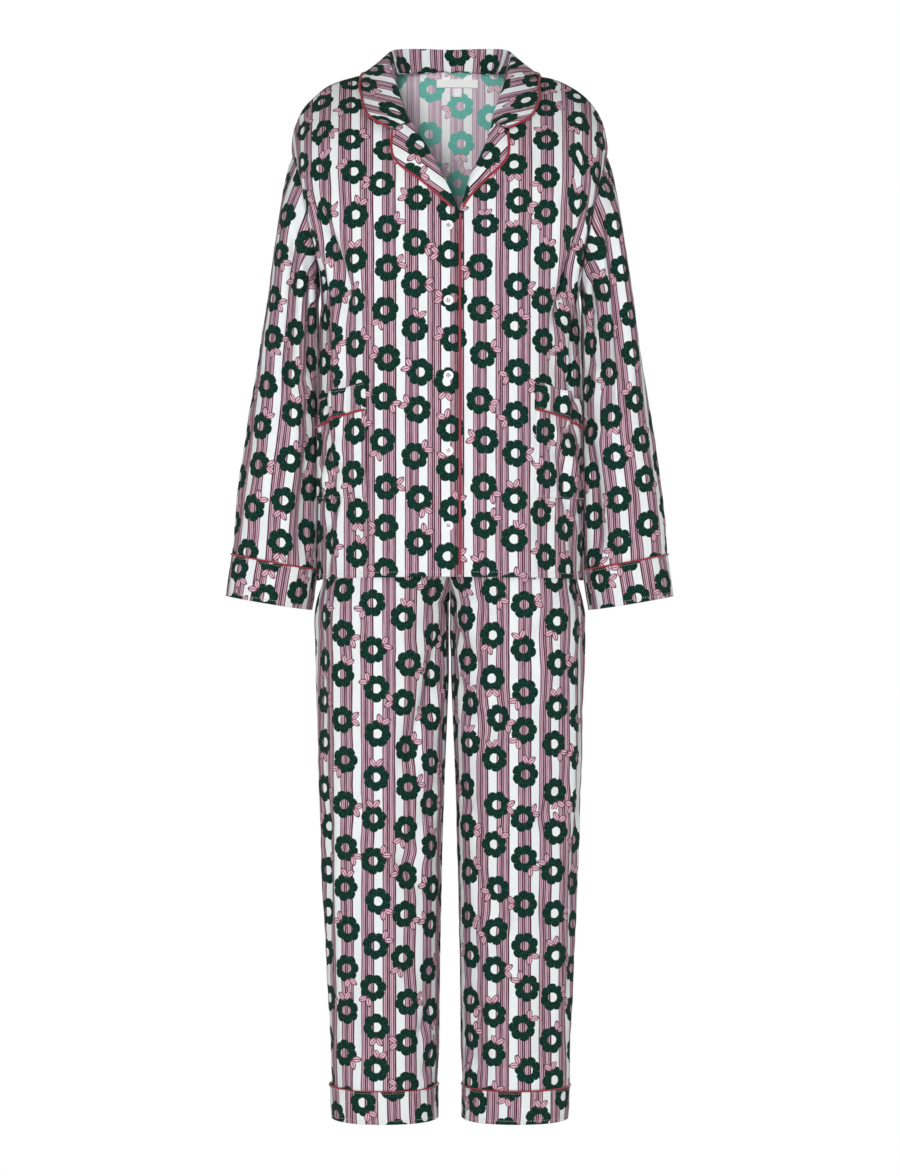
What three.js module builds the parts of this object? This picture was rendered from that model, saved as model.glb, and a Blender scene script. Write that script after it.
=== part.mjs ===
import * as THREE from "three";

// Pyjama set: a notch-collar shirt over straight trousers, worn and hollow.
// Millimetres, +Z up. The front faces -Y and +X is the wearer's left.
// The origin is the centre of the neck opening, at the height of the shoulder line.
// Left and right pieces are worked out on the +X side, where x is the distance from
// the centre, and mirrored for the -X side.

const clothThickness = 1.6;
const doubledThickness = 2; // collar and lapels, two layers of cloth
const seamGap = 0.3;
const pipingRadius = 1.6;
const pipingProud = 0.6; // how far the piping of an edge stands in front of the edge's middle
const torsoRoundness = 2.35; // exponent of the rounded quarter that shapes a row
const legRoundness = 2.1;

// The shirt's heights as a share from hem (0) to shoulder seam (1).
const underarmAt = 0.58;
const lapelFootAt = 0.73;
const gorgeAt = 0.92;
const backNeckAt = 0.95;
const hemZ = -669;
const underarmZ = -285;

// The front's inner edge: front edge, then roll line, then neck seam.
// lapX is the front that laps over, underX the one below it.
const frontEdgeRows = [
  { at: 0, lapX: -11, underX: -11, y: -120, z: -669 },
  { at: 0.29, lapX: -11, underX: -11, y: -126, z: -477 },
  { at: 0.58, lapX: -11, underX: -11, y: -128, z: -285 },
  { at: 0.7, lapX: -11, underX: -9, y: -124, z: -207 },
  { at: 0.73, lapX: -11, underX: 11, y: -122, z: -188 },
  { at: 0.8, lapX: 10, underX: 28, y: -113, z: -141 },
  { at: 0.86, lapX: 28, underX: 44, y: -99, z: -106 },
  { at: 0.92, lapX: 52, underX: 57, y: -78, z: -67 },
  { at: 0.96, lapX: 66, underX: 68, y: -44, z: -28 },
  { at: 1, lapX: 74, underX: 74, y: 0, z: 6 },
];

// The back's inner edge: centre back, then the back neck seam.
const backEdgeRows = [
  { at: 0, x: 0, y: 123, z: -669 },
  { at: 0.29, x: 0, y: 119, z: -477 },
  { at: 0.58, x: 0, y: 119, z: -285 },
  { at: 0.76, x: 0, y: 112, z: -160 },
  { at: 0.88, x: 0, y: 89, z: -56 },
  { at: 0.95, x: 0, y: 62, z: 14 },
  { at: 0.98, x: 50, y: 45, z: 12 },
  { at: 1, x: 74, y: 0, z: 6 },
];

// The outer edge of front and back: side seam, then armhole. depth is the distance from y = 0.
const outerEdgeRows = [
  { at: 0, x: 177, depth: 0, z: -676 },
  { at: 0.29, x: 174, depth: 0, z: -480 },
  { at: 0.56, x: 173.5, depth: 0, z: -299 },
  { at: 0.58, x: 174, depth: 0, z: -286 },
  { at: 0.66, x: 177, depth: 36, z: -260 },
  { at: 0.76, x: 185, depth: 60, z: -212 },
  { at: 0.86, x: 195, depth: 58, z: -164 },
  { at: 0.94, x: 204, depth: 36, z: -126 },
  { at: 1, x: 212, depth: 0, z: -105 },
];

// The sleeve's stations from armhole (0) to cuff (1), by their outer and inner edges.
const sleeveRows = [
  { at: 0, outX: 212, outZ: -105, inX: 175, inZ: -285, depth: 60 },
  { at: 0.06, outX: 221, outZ: -136, inX: 177, inZ: -298, depth: 61 },
  { at: 0.16, outX: 231, outZ: -189, inX: 178.5, inZ: -322, depth: 61 },
  { at: 0.31, outX: 243, outZ: -270, inX: 179.5, inZ: -370, depth: 59 },
  { at: 0.46, outX: 255, outZ: -351, inX: 180, inZ: -425, depth: 56 },
  { at: 0.61, outX: 267, outZ: -432, inX: 180.5, inZ: -487, depth: 53 },
  { at: 0.76, outX: 279.5, outZ: -513, inX: 181.5, inZ: -552, depth: 50 },
  { at: 0.88, outX: 287.5, outZ: -578, inX: 182.5, inZ: -608, depth: 48 },
  { at: 1, outX: 293.2, outZ: -640, inX: 183.5, inZ: -660, depth: 46 },
];
const sleeveHeadShare = 0.14; // stretch of the sleeve that blends from the armhole's loop
const armholeFacing = new THREE.Vector3(0.98, 0, -0.2); // the way the sleeve leaves the body

const sleeveCuffRows = [
  { at: 0, outX: 293.3, outZ: -640.4, inX: 183.6, inZ: -660.4, depth: 46 },
  { at: 1, outX: 302.5, outZ: -696.5, inX: 192, inZ: -715, depth: 47 },
];

// The collar from centre back (0) to its front end (1): fold line and outer edge.
const collarRows = [
  { at: 0, foldX: 0, foldY: 60, foldZ: 47, edgeX: 0, edgeY: 79, edgeZ: 1 },
  { at: 0.2, foldX: 48, foldY: 51, foldZ: 47, edgeX: 61, edgeY: 78, edgeZ: 3 },
  { at: 0.38, foldX: 76, foldY: 27, foldZ: 42, edgeX: 97, edgeY: 57, edgeZ: 12 },
  { at: 0.5, foldX: 82, foldY: 0, foldZ: 31, edgeX: 115, edgeY: 9, edgeZ: 10 },
  { at: 0.65, foldX: 79, foldY: -29, foldZ: 11, edgeX: 118, edgeY: -26, edgeZ: -6 },
  { at: 0.8, foldX: 70, foldY: -58, foldZ: -21, edgeX: 116, edgeY: -60, edgeZ: -36 },
  { at: 0.91, foldX: 60, foldY: -82, foldZ: -50, edgeX: 103, edgeY: -84, edgeZ: -61 },
  { at: 1, foldX: 54, foldY: -94, foldZ: -69, edgeX: 77, edgeY: -96, edgeZ: -77 },
];
const collarShoulderAt = 0.5; // where the collar crosses the shoulder seam
const collarSeamLift = 1; // height of the collar's lower edge over the neck edge
const collarFoldRoom = 3; // half the space inside the fold
const collarStandShare = 0.8; // share of the stand's height at which it turns into the fold
const collarStandLean = 0.5;
const collarLeafShare = 0.16; // share of the leaf's width at which the fold has turned down

// The lapel's outer edge as seen from the front, from its foot (0) to the notch (1).
const lapelRows = [
  { at: 0, x: -8.5, z: -188 },
  { at: 0.35, x: 29, z: -154 },
  { at: 0.62, x: 65, z: -126 },
  { at: 0.76, x: 74.5, z: -111 },
  { at: 1, x: 75, z: -82 },
];
const underLapelFootShift = 21; // the lapel underneath starts where it comes out of the lap
const lapelClearance = 0.9; // room between the lapel's edge and the front
const lapelBelly = 3; // how far the lapel stands off the front at its middle

const underlapDepth = 3.2; // how far the lower front dips below the upper one
const underlapFrom = 15;
const underlapTo = 36;

// A patch pocket on each front, between two of the front's columns, with its heights.
const pocket = {
  innerColumn: 5,
  outerColumn: 11,
  bottomZ: -564,
  pipingZ: -448,
  topZ: -412,
  drop: 22, // the outer side hangs lower by this
  clearance: 1, // room that the front's folds need under it
};

const button = { count: 5, firstZ: -208, pitch: 98.5, x: 2, radius: 6.5, thickness: 2.4 };

const neckLabel = { x: 10, width: 57, topAt: 0.943, bottomAt: 0.931 };
const sizeTag = { x: 10, width: 12, topAt: 0.93, bottomAt: 0.919 };
const tapeThickness = 1;
const tapeClearance = 1.1;

// The trousers by height, for one leg: centre and half width across, depths from y = 0.
const trouserRows = [
  { at: -1402, centre: 88, half: 72, front: 66, back: 72 },
  { at: -1262, centre: 90, half: 74, front: 67, back: 73 },
  { at: -1127, centre: 91.8, half: 77.8, front: 70, back: 76 },
  { at: -992, centre: 92.9, half: 82.1, front: 75, back: 82 },
  { at: -857, centre: 92.2, half: 86.8, front: 82, back: 90 },
  { at: -756, centre: 91.8, half: 90.5, front: 92, back: 102 },
  { at: -718, centre: 91.2, half: 91, front: 96, back: 106 },
  { at: -702, centre: 89.6, half: 89.5, front: 98, back: 105 },
  { at: -675, centre: 76, half: 96, front: 101, back: 103 },
  { at: -640, centre: 52, half: 116, front: 103, back: 101 },
  { at: -560, centre: 14, half: 150, front: 105, back: 100 },
  { at: -466, centre: 0, half: 140, front: 102, back: 102 },
];
const crotchZ = -702;
const legSeamZ = -1357;
const legHemZ = -1402;
const waistSeamZ = -466;
const waistTopZ = -430;

// Folds: troughs (negative) and ridges along straight lines on the cloth laid flat.
// across and along are millimetres; the torso's across runs from its centre line.
const frontFolds = [
  { side: 1, across0: 196, along0: -215, across1: 150, along1: -330, width: 13, depth: -8 },
  { side: -1, across0: 190, along0: -185, across1: 148, along1: -300, width: 14, depth: -7 },
  { side: 1, across0: 160, along0: -330, across1: 185, along1: -660, width: 16, depth: 6 },
  { side: -1, across0: 172, along0: -300, across1: 178, along1: -640, width: 15, depth: 5 },
  { side: 1, across0: 205, along0: -380, across1: 214, along1: -660, width: 13, depth: -6 },
  { side: -1, across0: 208, along0: -420, across1: 212, along1: -665, width: 13, depth: -6 },
  { side: 1, across0: 95, along0: -560, across1: 88, along1: -690, width: 18, depth: 4 },
  { side: -1, across0: 80, along0: -540, across1: 70, along1: -690, width: 20, depth: 4 },
];
const backFolds = [
  { side: 1, across0: 190, along0: -205, across1: 120, along1: -420, width: 16, depth: -8 },
  { side: -1, across0: 192, along0: -195, across1: 128, along1: -440, width: 15, depth: -7 },
  { side: 1, across0: 70, along0: -380, across1: 84, along1: -690, width: 20, depth: 6 },
  { side: -1, across0: 58, along0: -420, across1: 62, along1: -690, width: 22, depth: 6 },
  { side: 1, across0: 140, along0: -470, across1: 150, along1: -690, width: 17, depth: -6 },
  { side: -1, across0: 132, along0: -500, across1: 146, along1: -690, width: 17, depth: -6 },
];
// On the sleeve, across runs round from its outer edge by the front; along from the armhole.
const sleeveFolds = [
  { side: 1, across0: 62, along0: 40, across1: 78, along1: 300, width: 12, depth: -8 },
  { side: -1, across0: 66, along0: 30, across1: 84, along1: 260, width: 12, depth: -8 },
  { side: 1, across0: 128, along0: 210, across1: 70, along1: 330, width: 11, depth: -6 },
  { side: -1, across0: 120, along0: 230, across1: 60, along1: 350, width: 11, depth: -6 },
  { side: 1, across0: 110, along0: 330, across1: 96, along1: 540, width: 11, depth: 4 },
  { side: -1, across0: 104, along0: 300, across1: 92, along1: 520, width: 11, depth: 4 },
  { side: 1, across0: 270, along0: 60, across1: 235, along1: 380, width: 13, depth: -7 },
  { side: -1, across0: 262, along0: 80, across1: 240, along1: 350, width: 13, depth: -7 },
];
// On a leg, across runs from the inseam or centre seam to the side seam; along is the height.
const legFolds = [
  { side: 1, across0: 150, along0: -720, across1: 66, along1: -900, width: 13, depth: -6 },
  { side: -1, across0: 40, along0: -735, across1: 92, along1: -930, width: 13, depth: -6 },
  { side: 1, across0: 118, along0: -820, across1: 108, along1: -1280, width: 15, depth: 5 },
  { side: -1, across0: 122, along0: -800, across1: 110, along1: -1260, width: 15, depth: 5 },
  { side: 1, across0: 50, along0: -1060, across1: 130, along1: -1180, width: 12, depth: -5 },
  { side: -1, across0: 56, along0: -1090, across1: 136, along1: -1010, width: 12, depth: -5 },
];
const torsoRowLength = 256;
const torsoColumnCount = 12;
const sleeveRound = 320;
const sleeveLength = 560;
const legRowLength = 235;

const fabric = { color: 0xb9a3ac, roughness: 0.85, metalness: 0 };
const inset = { color: 0xae97a2, roughness: 0.85, metalness: 0 };
const crimson = { color: 0xaf2d41, roughness: 0.6, metalness: 0 };
const white = { color: 0xf2f2f0, roughness: 0.4, metalness: 0 };

const set = new THREE.Group();

function addMesh(name, geometry, look) {
  const mesh = new THREE.Mesh(geometry, new THREE.MeshStandardMaterial(look));
  mesh.name = name;
  set.add(mesh);
  return mesh;
}

const sideName = (side) => (side > 0 ? "left" : "right");
const mix = (a, b, t) => a + (b - a) * t;
const steps = (from, to, count) => Array.from({ length: count + 1 }, (_, i) => mix(from, to, i / count));

function smooth(from, to, value) {
  const t = Math.min(Math.max((value - from) / (to - from), 0), 1);
  return t * t * (3 - 2 * t);
}

// A column's slope at row i, from the rows before and after it.
function slope(rows, name, i) {
  const before = rows[Math.max(i - 1, 0)];
  const after = rows[Math.min(i + 1, rows.length - 1)];
  return (after[name] - before[name]) / (after.at - before.at);
}

// A table's column as a smooth curve through its rows, read where a row's "at" would be.
function column(rows, name, at) {
  let i = 0;
  while (i < rows.length - 2 && rows[i + 1].at <= at) i++;
  const [a, b] = [rows[i], rows[i + 1]];
  const span = b.at - a.at;
  const t = (at - a.at) / span;
  const toEnd = t * t * (3 - 2 * t);
  return (
    mix(a[name], b[name], toEnd) +
    t * (1 - t) * (1 - t) * span * slope(rows, name, i) -
    t * t * (1 - t) * span * slope(rows, name, i + 1)
  );
}

// How far folds push the cloth out at a place on it, fading at each fold's two ends.
function foldOffset(folds, side, across, along) {
  let offset = 0;
  for (const fold of folds) {
    if (fold.side !== side) continue;
    const dx = fold.across1 - fold.across0;
    const dz = fold.along1 - fold.along0;
    const length = Math.hypot(dx, dz);
    const t = ((across - fold.across0) * dx + (along - fold.along0) * dz) / length ** 2;
    const off = Math.abs((across - fold.across0) * dz - (along - fold.along0) * dx) / length;
    const fade = smooth(-0.15, 0.25, t) * (1 - smooth(0.75, 1.15, t));
    offset += fold.depth * fade * Math.exp(-((off / fold.width) ** 2));
  }
  return offset;
}

// The outward normal of a surface (across, up) => point, with x counted from the centre.
function normalOf(surface, u, v, outward) {
  const step = 0.004;
  const du = surface(Math.min(u + step, 1), v).sub(surface(Math.max(u - step, 0), v));
  const dv = surface(u, Math.min(v + step, 1)).sub(surface(u, Math.max(v - step, 0)));
  return du.cross(dv).normalize().multiplyScalar(outward);
}

// A closed wall from sheets of points. A sheet's rows face outwards when flip is false,
// and seam(i, j) gives the ways its neighbours lie, so that both walls meet at one angle.
function wall(sheets, thickness) {
  const points = [];
  const seams = [];
  const faces = [];
  const known = new Map();
  const place = (point, seam) => {
    const key = point.toArray().map((value) => Math.round(value * 1000)).join();
    if (!known.has(key)) {
      known.set(key, points.length);
      points.push(point);
      seams.push([]);
    }
    const id = known.get(key);
    seams[id].push(...seam);
    return id;
  };
  for (const { rows, flip, seam } of sheets) {
    const ids = rows.map((row, j) => row.map((point, i) => place(point, seam?.(i, j) ?? [])));
    for (let j = 0; j + 1 < ids.length; j++) {
      for (let i = 0; i + 1 < ids[j].length; i++) {
        const [a, b, c, d] = [ids[j][i], ids[j][i + 1], ids[j + 1][i + 1], ids[j + 1][i]];
        faces.push(...(flip ? [[a, c, b], [a, d, c]] : [[a, b, c], [a, c, d]]));
      }
    }
  }
  const whole = faces.filter(([a, b, c]) => a !== b && b !== c && a !== c);
  const normals = points.map(() => new THREE.Vector3());
  for (const [a, b, c] of whole) {
    const across = points[b].clone().sub(points[a]);
    const face = across.cross(points[c].clone().sub(points[a]));
    for (const id of [a, b, c]) normals[id].add(face);
  }
  const inner = points.map((point, id) => {
    const normal = normals[id].normalize();
    for (const seam of seams[id]) normal.addScaledVector(seam, -normal.dot(seam)).normalize();
    return point.clone().addScaledVector(normal, -thickness);
  });
  const count = points.length;
  const edges = new Set(whole.flatMap(([a, b, c]) => [`${a},${b}`, `${b},${c}`, `${c},${a}`]));
  const index = [];
  for (const [a, b, c] of whole) {
    index.push(a, b, c, c + count, b + count, a + count);
    for (const [p, q] of [[a, b], [b, c], [c, a]]) {
      if (!edges.has(`${q},${p}`)) index.push(q, p, p + count, q, p + count, q + count);
    }
  }
  const geometry = new THREE.BufferGeometry();
  const values = [...points, ...inner].flatMap((point) => point.toArray());
  geometry.setAttribute("position", new THREE.Float32BufferAttribute(values, 3));
  geometry.setIndex(index);
  geometry.computeVertexNormals();
  return geometry;
}

const toSide = (point, side) => new THREE.Vector3(point.x * side, point.y, point.z);

// A grid of points over shares us and vs of a surface, set out on one side.
function grid(surface, us, vs, side) {
  return vs.map((v) => us.map((u) => toSide(surface(u, v), side)));
}

// A round cord of piping through points; a closed one runs back to its start.
function piping(points, closed) {
  const sides = 6;
  const count = points.length;
  const at = (i) => points[closed ? (i + count) % count : Math.min(Math.max(i, 0), count - 1)];
  const middle = points.reduce((sum, point) => sum.add(point), new THREE.Vector3()).divideScalar(count);
  const values = [];
  points.forEach((point, i) => {
    const along = at(i + 1).clone().sub(at(i - 1)).normalize();
    const out = point.clone().sub(middle);
    out.addScaledVector(along, -out.dot(along)).normalize();
    const third = along.clone().cross(out);
    for (let k = 0; k < sides; k++) {
      const turn = (k / sides) * 2 * Math.PI;
      const ring = point.clone().addScaledVector(out, Math.cos(turn) * pipingRadius);
      values.push(...ring.addScaledVector(third, Math.sin(turn) * pipingRadius).toArray());
    }
  });
  const index = [];
  for (let i = 0; i < (closed ? count : count - 1); i++) {
    const next = ((i + 1) % count) * sides;
    for (let k = 0; k < sides; k++) {
      const [a, b] = [i * sides + k, i * sides + ((k + 1) % sides)];
      const [c, d] = [next + ((k + 1) % sides), next + k];
      index.push(a, b, c, a, c, d);
    }
  }
  if (!closed) {
    for (let k = 1; k + 1 < sides; k++) {
      const end = (count - 1) * sides;
      index.push(0, k + 1, k, end, end + k, end + k + 1);
    }
  }
  const geometry = new THREE.BufferGeometry();
  geometry.setAttribute("position", new THREE.Float32BufferAttribute(values, 3));
  geometry.setIndex(index);
  geometry.computeVertexNormals();
  return geometry;
}

// One row of the torso: from the inner edge point to the outer one along a rounded quarter.
function rowPoint(inner, outer, across) {
  const drop = 1 - (1 - across ** torsoRoundness) ** (1 / torsoRoundness);
  return new THREE.Vector3(
    mix(inner.x, outer.x, across),
    mix(inner.y, outer.y, drop),
    mix(inner.z, outer.z, drop),
  );
}

// The share of a row's width reached at u, so that u spaces points evenly round the quarter.
const acrossAt = (u) => Math.sin((u * Math.PI) / 2) ** (2 / torsoRoundness);

function outerEdge(at, front) {
  const depth = Math.max(column(outerEdgeRows, "depth", at), seamGap / 2);
  return {
    x: column(outerEdgeRows, "x", at),
    y: front ? -depth : depth,
    z: column(outerEdgeRows, "z", at),
  };
}

function frontEdge(side, at) {
  return {
    x: column(frontEdgeRows, side > 0 ? "underX" : "lapX", at),
    y: Math.min(column(frontEdgeRows, "y", at), -seamGap / 2),
    z: column(frontEdgeRows, "z", at),
  };
}

function smoothFront(side, across, at) {
  const point = rowPoint(frontEdge(side, at), outerEdge(at, true), across);
  if (side > 0) point.y += underlapDepth * (1 - smooth(underlapFrom, underlapTo, point.x));
  return point;
}

// The front's outer surface with its folds, which fade towards its edges.
function frontPoint(side, u, at) {
  const surface = (s, t) => smoothFront(side, acrossAt(s), t);
  const point = surface(u, at);
  const fade = smooth(0.08, 0.25, u) * (1 - smooth(0.86, 1, u)) * (1 - smooth(0.8, 0.95, at));
  const push = foldOffset(frontFolds, side, u * torsoRowLength, point.z) * fade;
  return point.addScaledVector(normalOf(surface, u, at, 1), push);
}

function frontNormal(side, u, at) {
  return normalOf((s, t) => frontPoint(side, s, t), u, at, 1);
}

// The share u and height at which the front shows a place (x, z) seen from the front.
function frontPlace(side, x, z) {
  const acrossFor = (at) => {
    const [inX, outX] = [frontEdge(side, at).x, outerEdge(at, true).x];
    return Math.min(Math.max((x - inX) / (outX - inX), 0), 1);
  };
  let [low, high] = [0, 1];
  for (let i = 0; i < 30; i++) {
    const middle = (low + high) / 2;
    if (smoothFront(side, acrossFor(middle), middle).z < z) low = middle;
    else high = middle;
  }
  const across = acrossFor(low);
  return { u: (2 / Math.PI) * Math.asin(across ** (torsoRoundness / 2)), at: low };
}

function onFront(side, u, at, lift) {
  return frontPoint(side, u, at).addScaledVector(frontNormal(side, u, at), lift);
}

function backPoint(side, u, at) {
  const inner = {
    x: at <= backNeckAt ? 0 : Math.max(column(backEdgeRows, "x", at), 0),
    y: Math.max(column(backEdgeRows, "y", at), seamGap / 2),
    z: column(backEdgeRows, "z", at),
  };
  const surface = (s, t) => rowPoint(inner, outerEdge(t, false), acrossAt(s));
  const point = surface(u, at);
  const fade = (1 - smooth(0.86, 1, u)) * (1 - smooth(0.78, 0.9, at));
  point.y += foldOffset(backFolds, side, u * torsoRowLength, point.z) * fade * (1 - u ** 4);
  return point;
}

// Front and back meet across this way at shoulder, side seam and inseam.
const levelSeam = new THREE.Vector3(0, 1, 0);

// Seams of a torso panel: the shoulder on its last row, side seam or armhole on its last column.
function torsoSeam(side, us, vs) {
  const armhole = toSide(armholeFacing, side).normalize();
  return (i, j) => {
    const outer = i === us.length - 1 ? [vs[j] > underarmAt ? armhole : levelSeam] : [];
    return j === vs.length - 1 ? [...outer, levelSeam] : outer;
  };
}

const torsoColumns = steps(0, 1, torsoColumnCount);
const frontHeights = [...steps(0, lapelFootAt, 11), ...steps(lapelFootAt, 1, 10).slice(1)];
const backHeights = [...steps(0, 0.84, 11), 0.87, 0.9, 0.925, backNeckAt, 0.965, 0.98, 1];

function addFront(side) {
  const rows = grid((u, at) => frontPoint(side, u, at), torsoColumns, frontHeights, side);
  const seam = torsoSeam(side, torsoColumns, frontHeights);
  const sheet = { rows, flip: side < 0, seam };
  addMesh(`shirt_front_${sideName(side)}`, wall([sheet], clothThickness), fabric);
}

function addBack() {
  const half = (side) => ({
    rows: grid((u, at) => backPoint(side, u, at), torsoColumns, backHeights, side),
    flip: side > 0,
    seam: torsoSeam(side, torsoColumns, backHeights),
  });
  addMesh("shirt_back", wall([half(1), half(-1)], clothThickness), fabric);
}

// A ring round an outer and an inner edge point; turn 0 is the outer edge, a quarter the front.
function ringPoint(station, turn) {
  const angle = turn * 2 * Math.PI;
  const reach = (1 + Math.cos(angle)) / 2;
  return new THREE.Vector3(
    mix(station.inX, station.outX, reach),
    -station.depth * Math.sin(angle),
    mix(station.inZ, station.outZ, reach),
  );
}

function stationOf(rows, at) {
  const names = ["outX", "outZ", "inX", "inZ", "depth"];
  return Object.fromEntries(names.map((name) => [name, column(rows, name, at)]));
}

function ringCentre({ outX, outZ, inX, inZ }) {
  return new THREE.Vector3((inX + outX) / 2, 0, (inZ + outZ) / 2);
}

// The armhole's loop, which the sleeve's head is sewn to.
function armholePoint(turn) {
  const front = turn <= 0.5;
  const share = front ? turn * 2 : 2 - turn * 2;
  const edge = outerEdge(mix(1, underarmAt, share), front);
  if (share === 0 || share === 1) edge.y = 0;
  return new THREE.Vector3(edge.x, edge.y, edge.z).addScaledVector(armholeFacing, seamGap);
}

function sleevePoint(side, turn, at) {
  const point = ringPoint(stationOf(sleeveRows, at), turn);
  const head = 1 - smooth(0, sleeveHeadShare, at);
  point.addScaledVector(armholePoint(turn).sub(ringPoint(sleeveRows[0], turn)), head);
  const fade = smooth(0.03, 0.16, at) * (1 - smooth(0.9, 1, at));
  const push = foldOffset(sleeveFolds, side, turn * sleeveRound, at * sleeveLength) * fade;
  const centre = ringCentre(stationOf(sleeveRows, at));
  return point.addScaledVector(point.clone().sub(centre).normalize(), push);
}

const roundSteps = steps(0, 1, 20);

// The same surface with its last point at its first, so that a ring closes on itself.
const closing = (surface) => (turn, at) => surface(turn === 1 ? 0 : turn, at);

function addSleeve(side) {
  const heights = [0, 0.03, 0.07, ...steps(0.12, 1, 11)];
  const rows = grid(closing((turn, at) => sleevePoint(side, turn, at)), roundSteps, heights, side);
  const armhole = toSide(armholeFacing, side).normalize();
  const seam = (i, j) => (j === 0 ? [armhole] : []);
  addMesh(`sleeve_${sideName(side)}`, wall([{ rows, flip: side < 0, seam }], clothThickness), fabric);
}

function addSleeveCuff(side) {
  const surface = closing((turn, at) => ringPoint(stationOf(sleeveCuffRows, at), turn));
  const rows = grid(surface, roundSteps, steps(0, 1, 3), side);
  addMesh(`sleeve_cuff_${sideName(side)}`, wall([{ rows, flip: side < 0 }], clothThickness), inset);
  const station = stationOf(sleeveCuffRows, 0);
  const points = roundSteps.slice(0, -1).map((turn) => {
    const point = ringPoint(station, turn);
    const out = point.clone().sub(ringCentre(station)).normalize();
    return toSide(point.addScaledVector(out, seamGap + pipingRadius), side);
  });
  addMesh(`piping_sleeve_cuff_${sideName(side)}`, piping(points, true), crimson);
}

// The neck edge that the collar is sewn to, from centre back to the front's gorge.
function neckEdge(side, at) {
  if (at <= collarShoulderAt) {
    const height = mix(backNeckAt, 1, at / collarShoulderAt);
    return backPoint(side, 0, height);
  }
  const height = mix(1, gorgeAt, (at - collarShoulderAt) / (1 - collarShoulderAt));
  return frontPoint(side, 0, height);
}

// The collar's section at a station: up from the neck seam, over the fold, down to the edge.
function collarPoint(side, share, at) {
  const seam = neckEdge(side, at);
  seam.z += collarSeamLift;
  const read = (name) => column(collarRows, name, at);
  const fold = new THREE.Vector3(at === 0 ? 0 : read("foldX"), read("foldY"), read("foldZ"));
  const edge = new THREE.Vector3(at === 0 ? 0 : read("edgeX"), read("edgeY"), read("edgeZ"));
  const out = new THREE.Vector3(edge.x - fold.x, edge.y - fold.y, 0).normalize();
  const standTop = seam.clone().lerp(fold, collarStandShare).addScaledVector(out, -collarStandLean);
  const leafTop = fold.clone().lerp(edge, collarLeafShare).addScaledVector(out, collarFoldRoom);
  const section = new THREE.CatmullRomCurve3([seam, standTop, fold, leafTop, edge]);
  return section.getPoint(share);
}

const collarStations = steps(0, 1, 14);

function addCollar() {
  const shares = [0, 0.13, 0.25, 0.38, 0.5, 0.6, 0.75, 0.88, 1];
  const half = (side) => ({
    rows: grid((share, at) => collarPoint(side, share, at), shares, collarStations, side),
    flip: side < 0,
  });
  addMesh("collar", wall([half(1), half(-1)], doubledThickness), inset);
  const edgeOf = (side) => (at) => {
    const edge = collarPoint(side, 1, at);
    const out = edge.clone().sub(collarPoint(side, 0.92, at)).normalize();
    return toSide(edge.addScaledVector(out, seamGap + pipingRadius), side);
  };
  const right = [...collarStations].reverse().map(edgeOf(-1));
  const left = collarStations.slice(1).map(edgeOf(1));
  addMesh("piping_collar", piping([...right, ...left], false), crimson);
}

// A point of the lapel, between the roll line and its outer edge, on the front moved out.
function lapelPoint(side, share, at) {
  const roll = frontEdge(side, mix(lapelFootAt, gorgeAt - 0.004, at));
  const shift = side > 0 ? underLapelFootShift * (1 - at) ** 2 : 0;
  const x = mix(roll.x, column(lapelRows, "x", at) + shift, share);
  const z = mix(roll.z, column(lapelRows, "z", at), share);
  const { u, at: height } = frontPlace(side, x, z);
  const belly = lapelBelly * Math.sin(share * Math.PI) * smooth(0, 0.4, at);
  return onFront(side, u, height, seamGap + doubledThickness + lapelClearance + belly);
}

function addLapel(side) {
  const along = steps(0.04, 1, 10);
  const surface = (share, at) => lapelPoint(side, share, at);
  const rows = grid(surface, steps(0, 1, 5), along, side);
  const geometry = wall([{ rows, flip: side < 0 }], doubledThickness);
  addMesh(`lapel_${sideName(side)}`, geometry, inset);
  const points = along.map((at) => {
    const edge = lapelPoint(side, 1, at);
    const out = edge.clone().sub(lapelPoint(side, 0.8, at)).normalize();
    edge.y += doubledThickness / 2 - pipingProud;
    return toSide(edge.addScaledVector(out, seamGap + pipingRadius), side);
  });
  addMesh(`piping_lapel_${sideName(side)}`, piping(points, false), crimson);
}

function addFrontPiping() {
  const points = steps(0.004, lapelFootAt - 0.006, 16).map((at) => {
    const edge = frontPoint(-1, 0, at);
    edge.x -= seamGap + pipingRadius;
    edge.y += clothThickness / 2 - pipingProud;
    return toSide(edge, -1);
  });
  addMesh("piping_front_edge", piping(points, false), crimson);
}

const heightShare = (z) => (underarmAt * (z - hemZ)) / (underarmZ - hemZ);

function addPocket(side) {
  const lift = pocket.clearance + clothThickness;
  const across = torsoColumns.slice(pocket.innerColumn, pocket.outerColumn + 1);
  const [inner, outer] = [across[0], across[across.length - 1]];
  const level = (z, u) => {
    return heightShare(z - (pocket.drop * (u - inner)) / (outer - inner));
  };
  const band = (name, fromZ, toZ, count, flatFoot) => {
    const surface = (u, share) => {
      const foot = flatFoot ? heightShare(fromZ) : level(fromZ, u);
      return onFront(side, u, mix(foot, level(toZ, u), share), lift);
    };
    const rows = grid(surface, across, steps(0, 1, count), side);
    addMesh(`${name}_${sideName(side)}`, wall([{ rows, flip: side < 0 }], clothThickness), inset);
  };
  band("pocket", pocket.bottomZ, pocket.pipingZ - seamGap, 5, true);
  band("pocket_band", pocket.pipingZ, pocket.topZ, 2, false);
  const cord = across.map((u) => {
    const height = level(pocket.pipingZ, u);
    return toSide(onFront(side, u, height, lift + seamGap + pipingRadius), side);
  });
  addMesh(`piping_pocket_${sideName(side)}`, piping(cord, false), crimson);
}

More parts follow.
